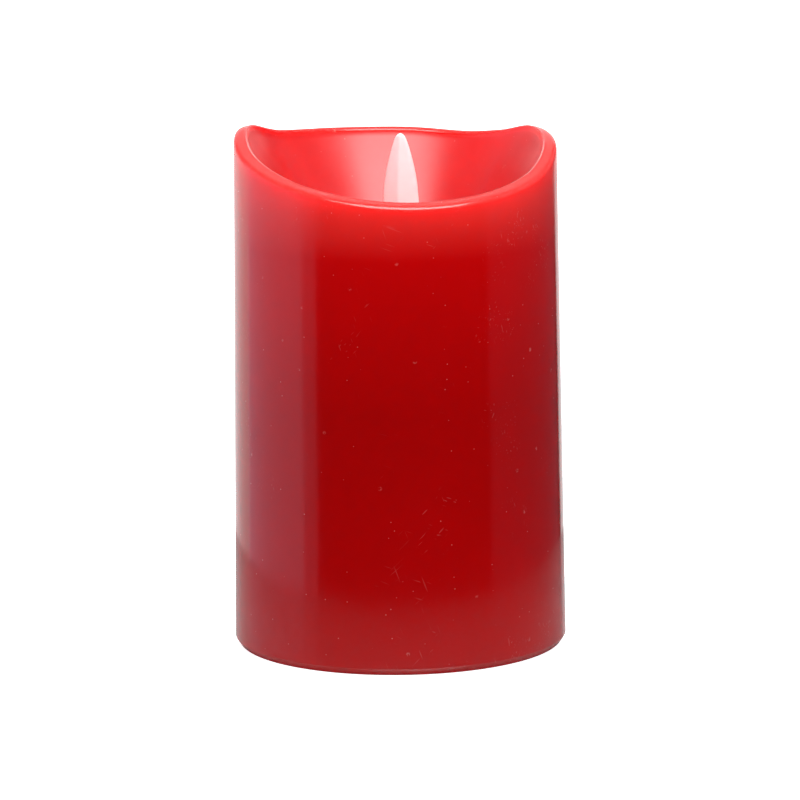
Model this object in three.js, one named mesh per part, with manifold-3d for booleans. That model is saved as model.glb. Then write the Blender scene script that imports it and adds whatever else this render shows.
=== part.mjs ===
// A flameless pillar candle: a hollow wax shell with a scooped, wavy rim around a swinging flame blade.
// The blade hangs on a bent wire in a plastic tower, and a magnet at its foot is pushed by a coil.
// Two AA cells, a slide switch and a hinged battery door are in the base.
// Units are millimetres, +Z is up, and the origin is the middle of the surface that it stands on.
// The low side of the rim faces -Y.
import * as THREE from 'three';
import { mergeVertices } from 'three/addons/utils/BufferGeometryUtils.js';
import Module from 'manifold-3d';

const wasm = await Module();
wasm.setup();

// ---------- driving dimensions ----------
const gap = 0.3; // between pieces that touch

// wax shell
const wax = {
  baseRadius: 40.5,
  draft: 0.01217, // loss of radius for each mm of height
  footChamfer: 1.2,
  cavityRadius: 34.7,
  cavityChamfer: 0.6,
  shoulderZ: 81, // where the cavity starts to close in
  ceilingRadius: 27.7,
  ceilingZ: 88,
  floorZ: 92, // bottom of the bowl
  floorRadius: 13,
  holeRadius: 9.4,
  lipWidth: 3.4,
  lipRise: 0.4,
  lipRound: 1.8,
  innerWall: 1.2, // upright stretch under the lip
  bowlSlope: 0.62, // how far the bowl's wall leans in for each mm below that stretch
};
// crests and dips of the rim's inner edge: [azimuth in degrees from +X, height]
const rimPoints = [
  [-90, 114], [-60, 114.5], [-30, 117.5], [0, 122.9], [24, 124.4], [45, 121.8], [62, 120.6],
  [84, 121.1], [110, 121.5], [140, 122.7], [170, 126.3], [200, 121.8], [235, 116.7],
];

// base
const base = {
  bottomZ: 1.2, // the plastic stands clear of the table
  topZ: 3.6,
  radius: 34.2,
  skirtTopZ: 12,
  skirtWall: 1.4,
};
const cell = { radius: 7.25, length: 49.5, nubRadius: 2.75, nubLength: 1, pitchY: 14.9, centreZ: 10.55 };
const bay = { halfLength: 28.2, halfWidth: 15, wall: 1.4, ceilingZ: 18.2, topZ: 19.8 };
const bayStop = { x: 18, halfX: 2, innerY: 14.1, outerY: 15.5, topZ: 4.3 }; // the shut door rests on these
const contact = {
  thickness: 0.4,
  face: 27.6,
  halfWidth: 5,
  bottomZ: 4.6,
  topZ: 16.6,
  bumpRadius: 3,
  bumpHeight: 1,
  tabHalf: 1.4,
  tabTopZ: 21.6,
};
const spring = { turns: 3.25, wideRadius: 5, narrowRadius: 2.6, wireRadius: 0.28 };
const cellShift = 0.5; // each cell's body sits this far towards its positive end
const door = {
  thickness: 1.6,
  hingeX: -26.65,
  hingeZ: 2.6,
  edgeInset: 0.9, // panel beyond the hinge line
  knuckleRadius: 0.95,
  pinRadius: 0.65,
  pinLength: 1,
  socketRadius: 0.95,
  socketY: 16.1,
  latchHeight: 5.6,
  tongueHalf: 2,
  tongueThickness: 1,
  beadRadius: 0.45,
  rib: { x: 9.5, halfX: 0.6, halfY: 1, height: 1.4 },
  grip: { count: 3, pitch: 1.2, width: 0.6, halfY: 4.5, depth: 0.5, inset: 4.4 },
};

// slide switch
const slideSwitch = {
  y: -25,
  offX: -2, // slider's place when the candle is off
  travel: 4,
  knob: { x: 4, y: 3 },
  knobBottomZ: 0.4,
  caseX: 11,
  caseY: 5.6,
  caseBottomZ: 3.9,
  caseTopZ: 8.6,
  sheet: 0.5,
  stem: { halfX: 1, halfY: 0.7, topZ: 6 },
  groove: { pitch: 1.2, halfX: 0.25, depth: 0.35 },
  ear: { x: 8, reach: 1.8, half: 1.8, holeRadius: 1.1, screwHoleRadius: 0.95 },
  deckBottomZ: 7.2,
  deckTopZ: 8.8,
  pinPitch: 2.5,
  pin: { halfX: 0.4, halfY: 0.2, bottomZ: 6.6, topZ: 11.4 },
};

// tower that carries the flame and its drive
const tower = {
  innerRadius: 13,
  wall: 1.6,
  bottomZ: bay.topZ + gap,
  topZ: 85.9,
  footRadius: 22,
  footThickness: 2,
  footScrewRadius: 18.5,
  lugX: 17.2,
  lugDepth: 7,
  lugHalf: 3.3,
  lugHeights: [31, 74],
  ledge: 1.6, // the ring that the circuit board rests on
};
const towerScrew = { radius: 1.15, length: 9.6, holeRadius: 1.5, headHoleRadius: 2.6, headY: -5.3 };
const footScrew = { radius: 1, length: 3.7, holeRadius: 1.3 };
const switchScrew = { radius: 0.6, length: 2 };
const screwLift = 0.1; // under each screw's head
const cap = {
  flangeRadius: 20,
  neckInner: 8,
  neckOuter: 9,
  bottomZ: 86.2,
  topZ: 87.7,
  neckTopZ: 91.8,
  neckChamfer: 0.4,
  spigotWidth: 1.4, // ring that centres the cap in the tower
  spigotDepth: 0.9,
};

// flame and its pendulum
const flame = {
  x: 1.3,
  turn: -20, // degrees about Z
  pivotZ: 84,
  ridge: 0.43, // half thickness over half width
  stemWidth: 3.2,
  stemThickness: 1.5,
  stemBottomZ: 67,
  eyeletRadius: 2.4,
  eyeletHole: 0.75,
  padRadius: 4,
  padThickness: 1.2,
};
// half width and height along the blade's edge, from the tip down to the stem
const flameEdge = [
  [0, 125.1], [1.25, 124.1], [2.6, 120.2], [3.85, 115], [4.45, 110], [4.5, 105.5], [3.9, 101], [1.6, 96],
];
const pivotWire = { radius: 0.3, reach: 14.2, rise: 0.6, notchHalf: 0.7, notchDistance: 13.4 };
const magnet = { radius: 3.5, thickness: 3, chamfer: 0.2 };
const coil = {
  flangeRadius: 7.5,
  hubRadius: 3.2,
  bore: 1.6,
  bottomZ: 50.4,
  topZ: 60.6,
  flange: 1.2,
  windRadius: 7,
  pegY: 5.4,
  pegRadius: 0.8,
  pegHoleRadius: 1.1,
};
const board = { radius: 12.5, bottomZ: 48.5, topZ: 50.1 };
const lamp = {
  base: [-2.5, 7.6, 75],
  aim: [1.3, 0, 108],
  radius: 2.5,
  flangeRadius: 2.9,
  flangeHeight: 1,
  length: 8.6,
  legSpread: 1.27,
  legHalf: 0.25,
  legLength: 9,
  holderTop: 5.5,
  holderWall: 1.2,
};
const leadRadius = 0.6;
const fineLeadRadius = 0.48; // lamp leads
const coilLeadRadius = 0.25;

// ---------- materials ----------
function material(color, roughness, metalness = 0) {
  return new THREE.MeshStandardMaterial({ color, roughness, metalness });
}
const redWax = material(0xa30710, 0.32);
const blackPlastic = material(0x17171a, 0.5);
const whitePlastic = material(0xe6e3da, 0.45);
const redPlastic = material(0x7d0c10, 0.45);
const flameResin = material(0xf6dcd8, 0.4);
const steel = material(0xb9bcc0, 0.3, 1);
const nickel = material(0xc9c5ba, 0.25, 1);
const copper = material(0xa9552b, 0.35, 1);
const clearResin = material(0xe9e4d2, 0.15);
const boardGreen = material(0x1f5a35, 0.5);
const phenolic = material(0x5d3b22, 0.6);
const cellSleeve = material(0x2f3338, 0.35);

const model = new THREE.Group();

function addPart(name, geometry, finish, parent = model) {
  const mesh = new THREE.Mesh(geometry, finish);
  mesh.name = name;
  parent.add(mesh);
  return mesh;
}

// ---------- shape helpers ----------
function toSolid(geometry) {
  const bare = geometry.clone();
  bare.deleteAttribute('normal');
  bare.deleteAttribute('uv');
  const merged = mergeVertices(bare, 1e-4);
  const vertProperties = new Float32Array(merged.attributes.position.array);
  const triVerts = new Uint32Array(merged.index.array);
  return new wasm.Manifold(new wasm.Mesh({ numProp: 3, vertProperties, triVerts }));
}

function toGeometry(solid) {
  const mesh = solid.getMesh();
  const geometry = new THREE.BufferGeometry();
  geometry.setAttribute('position', new THREE.BufferAttribute(new Float32Array(mesh.vertProperties), 3));
  geometry.setIndex(new THREE.BufferAttribute(new Uint32Array(mesh.triVerts), 1));
  return geometry;
}

function join(...geometries) {
  return toGeometry(geometries.map(toSolid).reduce((whole, piece) => whole.add(piece)));
}

function cut(body, ...tools) {
  return toGeometry(tools.map(toSolid).reduce((whole, tool) => whole.subtract(tool), toSolid(body)));
}

function keep(body, region) {
  return toGeometry(toSolid(body).intersect(toSolid(region)));
}

// box from its lowest to its highest corner
function block(x0, y0, z0, x1, y1, z1) {
  const box = new THREE.BoxGeometry(x1 - x0, y1 - y0, z1 - z0);
  return box.translate((x0 + x1) / 2, (y0 + y1) / 2, (z0 + z1) / 2);
}

// box from y0 to y1 on the +Y or the -Y side
function sideBlock(side, x0, y0, z0, x1, y1, z1) {
  return block(x0, Math.min(side * y0, side * y1), z0, x1, Math.max(side * y0, side * y1), z1);
}

// upright round bar
function rod(radius, z0, z1, x = 0, y = 0, sides = 24) {
  const bar = new THREE.CylinderGeometry(radius, radius, z1 - z0, sides);
  return bar.rotateX(Math.PI / 2).translate(x, y, (z0 + z1) / 2);
}

// round bar along Y
function rodY(radius, y0, y1, x, z, sides = 24) {
  return rod(radius, y0, y1, 0, 0, sides).rotateX(-Math.PI / 2).translate(x, 0, z);
}

// body of revolution about Z from [radius, z] pairs
function turned(profile, sides = 32) {
  const points = profile.map(([radius, z]) => new THREE.Vector2(radius, z));
  return new THREE.LatheGeometry(points, sides).rotateX(Math.PI / 2);
}

// tube with square-cornered ends
function pipe(inner, outer, z0, z1, sides = 48) {
  return turned([[inner, z0], [outer, z0], [outer, z1], [inner, z1], [inner, z0]], sides);
}

// surface through rings of points; the rings close on themselves, and so does the stack of rings
function wovenTorus(rings) {
  const count = rings[0].length;
  const positions = rings.flat(2);
  const index = [];
  rings.forEach((ring, i) => {
    const next = (i + 1) % rings.length;
    ring.forEach((point, j) => {
      const beside = (j + 1) % count;
      const corners = [i * count + j, next * count + j, next * count + beside, i * count + beside];
      index.push(corners[0], corners[1], corners[2], corners[0], corners[2], corners[3]);
    });
  });
  const geometry = new THREE.BufferGeometry();
  geometry.setAttribute('position', new THREE.Float32BufferAttribute(positions, 3));
  geometry.setIndex(index);
  return geometry;
}

// round bar bent along a smooth route
function lead(points, radius, steps, sides = 6) {
  const route = new THREE.CatmullRomCurve3(points.map((p) => new THREE.Vector3(...p)), false, 'centripetal');
  const section = new THREE.Shape();
  for (let i = 0; i < sides; i++) {
    const angle = (2 * Math.PI * i) / sides;
    const corner = [radius * Math.cos(angle), radius * Math.sin(angle)];
    if (i === 0) section.moveTo(...corner);
    else section.lineTo(...corner);
  }
  section.closePath();
  return new THREE.ExtrudeGeometry(section, { extrudePath: route, steps, bevelEnabled: false });
}

// pan-head self-tapping screw: the underside of its head is at z = 0 and it points down
function screw(shankRadius, length) {
  const headRadius = shankRadius * 1.9;
  const headHeight = shankRadius * 1.3;
  const body = turned([
    [0, -length], [shankRadius * 0.3, -length], [shankRadius, -length + shankRadius * 1.2], [shankRadius, 0],
    [headRadius, 0], [headRadius, headHeight * 0.55], [headRadius * 0.6, headHeight], [0, headHeight],
  ], 12);
  const slot = shankRadius * 0.22;
  const reach = shankRadius * 0.95;
  const depth = headHeight * 0.45;
  return cut(
    body,
    block(-reach, -slot, depth, reach, slot, headHeight + 1),
    block(-slot, -reach, depth, slot, reach, headHeight + 1),
  );
}

// ---------- wax shell ----------
// height of the rim's inner edge: a smooth periodic curve through rimPoints
function rimHeight(azimuth) {
  const count = rimPoints.length;
  const first = rimPoints[0][0];
  const angle = ((((azimuth - first) % 360) + 360) % 360) + first;
  const at = (i) => {
    const [a, h] = rimPoints[((i % count) + count) % count];
    return [a + 360 * Math.floor(i / count), h];
  };
  const slope = (i) => (at(i + 1)[1] - at(i - 1)[1]) / (at(i + 1)[0] - at(i - 1)[0]);
  let i = 0;
  while (at(i + 1)[0] <= angle) i++;
  const [a0, h0] = at(i);
  const [a1, h1] = at(i + 1);
  const span = a1 - a0;
  const t = (angle - a0) / span;
  return (
    h0 * (1 + 2 * t) * (1 - t) ** 2 +
    slope(i) * span * t * (1 - t) ** 2 +
    h1 * t * t * (3 - 2 * t) +
    slope(i + 1) * span * t * t * (t - 1)
  );
}

function waxRadius(z) {
  return wax.baseRadius - wax.draft * z;
}

// section of the wall as [radius, z], once round from the foot, up the outside and back down the inside
function waxSection(azimuth) {
  const crest = rimHeight(azimuth);
  const outer = waxRadius(crest);
  const inner = outer - wax.lipWidth;
  const lip = new THREE.QuadraticBezierCurve(
    new THREE.Vector2(waxRadius(crest - wax.lipRound), crest - wax.lipRound),
    new THREE.Vector2(outer, crest - wax.lipRise),
    new THREE.Vector2(inner, crest),
  ).getPoints(6);
  const wallFoot = crest - wax.innerWall;
  const bowl = new THREE.QuadraticBezierCurve(
    new THREE.Vector2(inner, wallFoot),
    new THREE.Vector2(inner - wax.bowlSlope * (wallFoot - wax.floorZ), wax.floorZ),
    new THREE.Vector2(wax.floorRadius, wax.floorZ),
  ).getPoints(8);
  return [
    [wax.cavityRadius + wax.cavityChamfer, 0],
    [wax.baseRadius - wax.footChamfer, 0],
    [waxRadius(wax.footChamfer), wax.footChamfer],
    ...[...lip, ...bowl].map((p) => [p.x, p.y]),
    [wax.holeRadius, wax.floorZ],
    [wax.holeRadius, wax.ceilingZ],
    [wax.ceilingRadius, wax.ceilingZ],
    [wax.cavityRadius, wax.shoulderZ],
    [wax.cavityRadius, wax.cavityChamfer],
  ];
}

function waxShell() {
  const sectors = 64;
  const rings = [];
  for (let i = 0; i < sectors; i++) {
    const azimuth = (360 * i) / sectors;
    const angle = THREE.MathUtils.degToRad(azimuth);
    rings.push(waxSection(azimuth).map(([r, z]) => [r * Math.cos(angle), r * Math.sin(angle), z]));
  }
  return wovenTorus(rings);
}

addPart('wax_shell', waxShell(), redWax);

// ---------- base: chassis and battery door ----------
function footScrewPlaces() {
  return [45, 135, 225, 315].map((degrees) => {
    const angle = THREE.MathUtils.degToRad(degrees);
    return [tower.footScrewRadius * Math.cos(angle), tower.footScrewRadius * Math.sin(angle)];
  });
}

function baseChassis() {
  const outerLength = bay.halfLength + bay.wall;
  const outerWidth = bay.halfWidth + bay.wall;
  const stops = [-1, 1].flatMap((side) =>
    [-bayStop.x, bayStop.x].map((x) => sideBlock(
      side, x - bayStop.halfX, bayStop.innerY, base.bottomZ + door.thickness + gap,
      x + bayStop.halfX, bayStop.outerY, bayStop.topZ,
    )));
  const body = join(
    rod(base.radius, base.bottomZ, base.topZ, 0, 0, 56),
    pipe(base.radius - base.skirtWall, base.radius, base.bottomZ, base.skirtTopZ, 56),
    block(-outerLength, -outerWidth, base.bottomZ, outerLength, outerWidth, bay.topZ),
  );
  const hollow = block(-bay.halfLength, -bay.halfWidth, 0, bay.halfLength, bay.halfWidth, bay.ceilingZ);
  const sockets = rodY(door.socketRadius, -door.socketY, door.socketY, door.hingeX, door.hingeZ);
  const tabSlots = [-1, 1].map((side) => {
    const y = (side * cell.pitchY) / 2;
    return block(contact.face - 0.4, y - 2, bay.ceilingZ - 1, contact.face + 0.8, y + 2, bay.topZ + 1);
  });
  const footHoles = footScrewPlaces().map(([x, y]) =>
    rod(footScrew.holeRadius, bay.ceilingZ - 1, bay.topZ + 1, x, y, 16));
  const knobHalf = slideSwitch.travel / 2 + slideSwitch.knob.x / 2 + gap;
  const knobSlot = block(
    -knobHalf, slideSwitch.y - slideSwitch.knob.y / 2 - gap, 0,
    knobHalf, slideSwitch.y + slideSwitch.knob.y / 2 + gap, base.topZ + 1,
  );
  const { ear } = slideSwitch;
  const earHoles = [-1, 1].map((side) =>
    rod(ear.screwHoleRadius, 2, base.topZ + 1, side * ear.x, slideSwitch.y, 12));
  const shell = cut(body, hollow, sockets, ...tabSlots, ...footHoles, knobSlot, ...earHoles);
  return join(shell, ...stops);
}

// the panel carries two short pins on its hinge edge and a snap tongue on the other
function batteryDoor() {
  const halfWidth = bay.halfWidth - gap;
  const left = door.hingeX - door.edgeInset;
  const right = bay.halfLength - gap;
  const top = base.bottomZ + door.thickness;
  const { rib, grip } = door;
  const outline = new THREE.Shape();
  outline.moveTo(left, base.bottomZ + door.edgeInset);
  outline.lineTo(left + door.edgeInset, base.bottomZ);
  outline.lineTo(right, base.bottomZ);
  outline.lineTo(right, top);
  outline.lineTo(left, top);
  outline.closePath();
  const panel = new THREE.ExtrudeGeometry(outline, { depth: 2 * halfWidth, bevelEnabled: false })
    .rotateX(Math.PI / 2)
    .translate(0, halfWidth, 0);
  const knuckle = rodY(door.knuckleRadius, -halfWidth, halfWidth, door.hingeX, door.hingeZ, 16);
  const pinY = halfWidth + door.pinLength;
  const pins = rodY(door.pinRadius, -pinY, pinY, door.hingeX, door.hingeZ, 16);
  const face = right - 0.2; // outer face of the tongue, clear of the bay's wall
  const tongue = block(
    face - door.tongueThickness, -door.tongueHalf, base.bottomZ, face, door.tongueHalf, door.latchHeight,
  );
  const beadZ = door.latchHeight - 0.8;
  const bead = rodY(door.beadRadius, -door.tongueHalf, door.tongueHalf, right - 0.35, beadZ, 12);
  const ribs = [-rib.x, rib.x].map((x) =>
    block(x - rib.halfX, -rib.halfY, top - 0.2, x + rib.halfX, rib.halfY, top + rib.height));
  const grooves = Array.from({ length: grip.count }, (_, i) => {
    const x = right - grip.inset + i * grip.pitch;
    return block(x, -grip.halfY, base.bottomZ - 1, x + grip.width, grip.halfY, base.bottomZ + grip.depth);
  });
  return cut(join(panel, knuckle, pins, tongue, bead, ...ribs), ...grooves);
}

addPart('base_chassis', baseChassis(), blackPlastic);
addPart('battery_door', batteryDoor(), blackPlastic);

// ---------- cells and contacts ----------
// cell_1 has its positive end at +X, and cell_2 at -X
function batteryCell() {
  const half = cell.length / 2;
  return turned([
    [0, -half], [cell.radius - 0.8, -half], [cell.radius, -half + 0.8], [cell.radius, half - 0.8],
    [cell.radius - 0.8, half], [cell.nubRadius, half], [cell.nubRadius, half + cell.nubLength],
    [0, half + cell.nubLength],
  ], 28).rotateY(Math.PI / 2);
}

[1, -1].forEach((direction, i) => {
  const mesh = addPart(`cell_${i + 1}`, batteryCell(), cellSleeve);
  mesh.position.set(direction * cellShift, (-direction * cell.pitchY) / 2, cell.centreZ);
  if (direction < 0) mesh.rotation.z = Math.PI;
});

// stamped plate at one end of the bay; side is +1 or -1 along X
function contactPlate(side, y0, y1, bumpY, tabY) {
  const [near, far] = [contact.face, contact.face + contact.thickness];
  const pieces = [block(near, y0, contact.bottomZ, far, y1, contact.topZ)];
  if (bumpY !== null) {
    const crown = contact.bumpRadius * 0.6;
    const profile = [[0, 0], [contact.bumpRadius, 0], [crown, contact.bumpHeight], [0, contact.bumpHeight]];
    const bump = turned(profile, 20);
    pieces.push(bump.rotateY(-Math.PI / 2).translate(near + 0.1, bumpY, cell.centreZ));
  }
  if (tabY !== null) {
    const tabZ = contact.topZ - 1;
    pieces.push(block(near, tabY - contact.tabHalf, tabZ, far, tabY + contact.tabHalf, contact.tabTopZ));
  }
  const plate = pieces.length > 1 ? join(...pieces) : pieces[0];
  return side > 0 ? plate : plate.rotateZ(Math.PI);
}

// conical spring that presses on a cell's flat end, wound about X
function contactSpring(x0, x1, y) {
  const count = 40;
  const points = [];
  for (let i = 0; i <= count; i++) {
    const t = i / count;
    const angle = 2 * Math.PI * spring.turns * t;
    const radius = spring.wideRadius + (spring.narrowRadius - spring.wideRadius) * t;
    const z = cell.centreZ + radius * Math.sin(angle);
    points.push([x0 + (x1 - x0) * t, y + radius * Math.cos(angle), z]);
  }
  return lead(points, spring.wireRadius, 42, 5);
}

const row = cell.pitchY / 2;
const cellEnd = cell.length / 2 - cellShift;
const rowOuter = row + contact.halfWidth;
const rowInner = row - contact.halfWidth;
addPart('positive_plate', contactPlate(1, -rowOuter, -rowInner, -row, -row), nickel);
addPart('negative_plate', contactPlate(1, rowInner, rowOuter, null, row), nickel);
addPart('link_plate', contactPlate(-1, -rowOuter, rowOuter, -row, null), nickel);
const springRoom = [contact.face - gap - spring.wireRadius, cellEnd + gap + spring.wireRadius];
addPart('negative_spring', contactSpring(springRoom[0], springRoom[1], row), nickel);
addPart('link_spring', contactSpring(-springRoom[0], -springRoom[1], -row), nickel);

// ---------- slide switch ----------
const knobHalfX = slideSwitch.knob.x / 2;
const knobHalfY = slideSwitch.knob.y / 2;
const caseHalfX = slideSwitch.caseX / 2;
const caseHalfY = slideSwitch.caseY / 2;

// ribbed thumb piece with a stem that reaches into the switch
function switchSlider() {
  const { stem, groove, knobBottomZ } = slideSwitch;
  const knob = block(-knobHalfX, -knobHalfY, knobBottomZ, knobHalfX, knobHalfY, base.topZ - gap);
  const post = block(-stem.halfX, -stem.halfY, base.topZ - 2 * gap, stem.halfX, stem.halfY, stem.topZ);
  const grooves = [-groove.pitch, 0, groove.pitch].map((x) =>
    block(x - groove.halfX, -knobHalfY - 1, 0, x + groove.halfX, knobHalfY + 1, knobBottomZ + groove.depth));
  return cut(join(knob, post), ...grooves);
}

function switchCase() {
  const { ear, sheet, stem } = slideSwitch;
  const z0 = slideSwitch.caseBottomZ;
  const z1 = slideSwitch.caseTopZ;
  const earReach = ear.x + ear.reach;
  const body = join(
    block(-caseHalfX, -caseHalfY, z0, caseHalfX, caseHalfY, z1),
    block(-earReach, -ear.half, z0, earReach, ear.half, z0 + sheet),
  );
  const roomX = caseHalfX - sheet;
  const roomY = caseHalfY - sheet;
  const room = block(-roomX, -roomY, z0 + sheet, roomX, roomY, z1 + 1);
  const slotX = slideSwitch.travel / 2 + stem.halfX + gap;
  const slotY = stem.halfY + gap;
  const stemSlot = block(-slotX, -slotY, z0 - 1, slotX, slotY, z0 + 1);
  const earHoles = [-1, 1].map((side) => rod(ear.holeRadius, z0 - 1, z0 + 1, side * ear.x, 0, 12));
  return cut(body, room, stemSlot, ...earHoles);
}

const switchPin = slideSwitch.pin;
const terminalX = [-slideSwitch.pinPitch, 0, slideSwitch.pinPitch];

function switchBase() {
  const { deckBottomZ, deckTopZ } = slideSwitch;
  const deckX = caseHalfX - slideSwitch.sheet - gap;
  const deckY = caseHalfY - slideSwitch.sheet - gap;
  const deck = block(-deckX, -deckY, deckBottomZ, deckX, deckY, deckTopZ);
  const holeX = switchPin.halfX + gap;
  const holeY = switchPin.halfY + gap;
  const pinHoles = terminalX.map((x) =>
    block(x - holeX, -holeY, deckBottomZ - 1, x + holeX, holeY, deckTopZ + 1));
  return cut(deck, ...pinHoles);
}

function switchTerminal(x) {
  const { halfX, halfY, bottomZ, topZ } = switchPin;
  return block(x - halfX, -halfY, bottomZ, x + halfX, halfY, topZ);
}

const switchGroup = new THREE.Group();
switchGroup.position.y = slideSwitch.y;
model.add(switchGroup);
addPart('switch_slider', switchSlider(), blackPlastic, switchGroup).position.x = slideSwitch.offX;
addPart('switch_case', switchCase(), steel, switchGroup);
addPart('switch_base', switchBase(), phenolic, switchGroup);
terminalX.forEach((x, i) => addPart(`switch_terminal_${i + 1}`, switchTerminal(x), nickel, switchGroup));
[-1, 1].forEach((side, i) => {
  const shape = screw(switchScrew.radius, switchScrew.length);
  const mesh = addPart(`switch_screw_${i + 1}`, shape, steel, switchGroup);
  mesh.position.set(side * slideSwitch.ear.x, 0, slideSwitch.caseBottomZ + slideSwitch.sheet + screwLift);
});

// ---------- tower ----------
const wireTurn = THREE.MathUtils.degToRad(flame.turn);
// a point at distance s along the pivot wire, which runs square to the blade
function onWire(s, z) {
  return [flame.x + s * Math.sin(-wireTurn), s * Math.cos(wireTurn), z];
}

// whole tower before it is split into a front and a rear half
function wholeTower() {
  const outer = tower.innerRadius + tower.wall;
  const ledgeZ = board.bottomZ - gap;
  const shell = turned([
    [tower.innerRadius, tower.bottomZ], [tower.footRadius, tower.bottomZ],
    [tower.footRadius, tower.bottomZ + tower.footThickness], [outer, tower.bottomZ + tower.footThickness],
    [outer, tower.topZ], [tower.innerRadius, tower.topZ],
    [tower.innerRadius, ledgeZ], [tower.innerRadius - tower.ledge, ledgeZ],
    [tower.innerRadius - tower.ledge, ledgeZ - 1], [tower.innerRadius, ledgeZ - 1 - tower.ledge],
    [tower.innerRadius, tower.bottomZ],
  ], 36);
  const lugs = [-1, 1].flatMap((side) => tower.lugHeights.map((z) => {
    const x0 = side > 0 ? tower.innerRadius + 0.6 : -tower.lugX - tower.lugHalf;
    const x1 = side > 0 ? tower.lugX + tower.lugHalf : -tower.innerRadius - 0.6;
    return block(x0, -tower.lugDepth, z - tower.lugHalf, x1, tower.lugDepth, z + tower.lugHalf);
  }));
  const lugFace = -tower.lugDepth - 1;
  const headSeat = towerScrew.headY + screwLift;
  const lugHoles = [-1, 1].flatMap((side) => tower.lugHeights.flatMap((z) => [
    rodY(towerScrew.holeRadius, lugFace, tower.lugDepth - 1.4, side * tower.lugX, z, 16),
    rodY(towerScrew.headHoleRadius, lugFace, headSeat, side * tower.lugX, z, 20),
  ]));
  const footTop = tower.bottomZ + tower.footThickness;
  const footHoles = footScrewPlaces().map(([x, y]) =>
    rod(footScrew.holeRadius, tower.bottomZ - 1, footTop + 1, x, y, 16));
  const wireNotches = [-1, 1].map((side) => {
    const [x, y] = onWire(side * pivotWire.notchDistance, 0);
    const notch = block(-pivotWire.notchHalf, -2, flame.pivotZ, pivotWire.notchHalf, 2, tower.topZ + 1);
    return notch.rotateZ(wireTurn).translate(x, y, 0);
  });
  const leadHoles = [block(-5, -16, 23.6, 5, -12, 27.8), block(9, 4.8, 23.6, 15, 9, 27.4)];
  return cut(join(shell, ...lugs), ...lugHoles, ...footHoles, ...wireNotches, ...leadHoles);
}

function towerHalf(whole, side) {
  const reach = 30;
  const y0 = side > 0 ? gap / 2 : -reach;
  const y1 = side > 0 ? reach : -gap / 2;
  return keep(whole, block(-reach, y0, 0, reach, y1, 100));
}

const towerBody = wholeTower();
addPart('tower_front', towerHalf(towerBody, -1), whitePlastic);
addPart('tower_rear', towerHalf(towerBody, 1), whitePlastic);

let towerScrewCount = 0;
for (const side of [-1, 1]) {
  for (const z of tower.lugHeights) {
    towerScrewCount += 1;
    const shape = screw(towerScrew.radius, towerScrew.length);
    const mesh = addPart(`tower_screw_${towerScrewCount}`, shape, steel);
    mesh.rotation.x = Math.PI / 2;
    mesh.position.set(side * tower.lugX, towerScrew.headY, z);
  }
}

footScrewPlaces().forEach(([x, y], i) => {
  const mesh = addPart(`foot_screw_${i + 1}`, screw(footScrew.radius, footScrew.length), steel);
  mesh.position.set(x, y, tower.bottomZ + tower.footThickness + screwLift);
});

// collar that lines the hole in the wax and holds the pivot wire down in its notches
function topCap() {
  const spigotOuter = tower.innerRadius - 0.4;
  const spigotInner = spigotOuter - cap.spigotWidth;
  const spigotZ = cap.bottomZ - cap.spigotDepth;
  return turned([
    [cap.neckInner, cap.bottomZ], [spigotInner, cap.bottomZ], [spigotInner, spigotZ],
    [spigotOuter, spigotZ], [spigotOuter, cap.bottomZ], [cap.flangeRadius, cap.bottomZ],
    [cap.flangeRadius, cap.topZ], [cap.neckOuter, cap.topZ],
    [cap.neckOuter, cap.neckTopZ - cap.neckChamfer], [cap.neckOuter - cap.neckChamfer, cap.neckTopZ],
    [cap.neckInner, cap.neckTopZ], [cap.neckInner, cap.bottomZ],
  ], 36);
}

addPart('top_cap', topCap(), redPlastic);

// ---------- flame ----------
// ridged blade: each level is a soft-cornered diamond, and the levels end in a point
function flameBlade() {
  const sides = 12;
  const softness = 1.3; // 1 is a diamond and 2 is an ellipse
  const levels = 12;
  const edge = new THREE.SplineCurve(flameEdge.map(([w, z]) => new THREE.Vector2(w, z)));
  const positions = [0, 0, flameEdge[0][1]];
  for (let level = 1; level <= levels; level++) {
    const point = edge.getPoint(level / levels);
    for (let i = 0; i < sides; i++) {
      const angle = (2 * Math.PI * i) / sides;
      const c = Math.cos(angle);
      const s = Math.sin(angle);
      const x = point.x * Math.sign(c) * Math.abs(c) ** (2 / softness);
      const y = flame.ridge * point.x * Math.sign(s) * Math.abs(s) ** (2 / softness);
      positions.push(x, y, point.y);
    }
  }
  positions.push(0, 0, flameEdge[flameEdge.length - 1][1]);
  const foot = 1 + levels * sides;
  const index = [];
  for (let i = 0; i < sides; i++) {
    const j = (i + 1) % sides;
    index.push(0, 1 + i, 1 + j);
    for (let level = 0; level < levels - 1; level++) {
      const upper = 1 + level * sides;
      const lower = upper + sides;
      index.push(upper + i, lower + i, lower + j, upper + i, lower + j, upper + j);
    }
    const last = 1 + (levels - 1) * sides;
    index.push(foot, last + j, last + i);
  }
  const geometry = new THREE.BufferGeometry();
  geometry.setAttribute('position', new THREE.Float32BufferAttribute(positions, 3));
  geometry.setIndex(index);
  return geometry;
}

function flamePiece() {
  const halfWidth = flame.stemWidth / 2;
  const halfDepth = flame.stemThickness / 2;
  const bladeFoot = flameEdge[flameEdge.length - 1][1];
  const stem = block(-halfWidth, -halfDepth, flame.stemBottomZ, halfWidth, halfDepth, bladeFoot + 3);
  const eyelet = rodY(flame.eyeletRadius, -halfDepth, halfDepth, 0, flame.pivotZ, 20);
  const pad = rod(flame.padRadius, flame.stemBottomZ, flame.stemBottomZ + flame.padThickness, 0, 0, 24);
  const hole = rodY(flame.eyeletHole, -2, 2, 0, flame.pivotZ, 16);
  return cut(join(flameBlade(), stem, eyelet, pad), hole);
}

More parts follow.
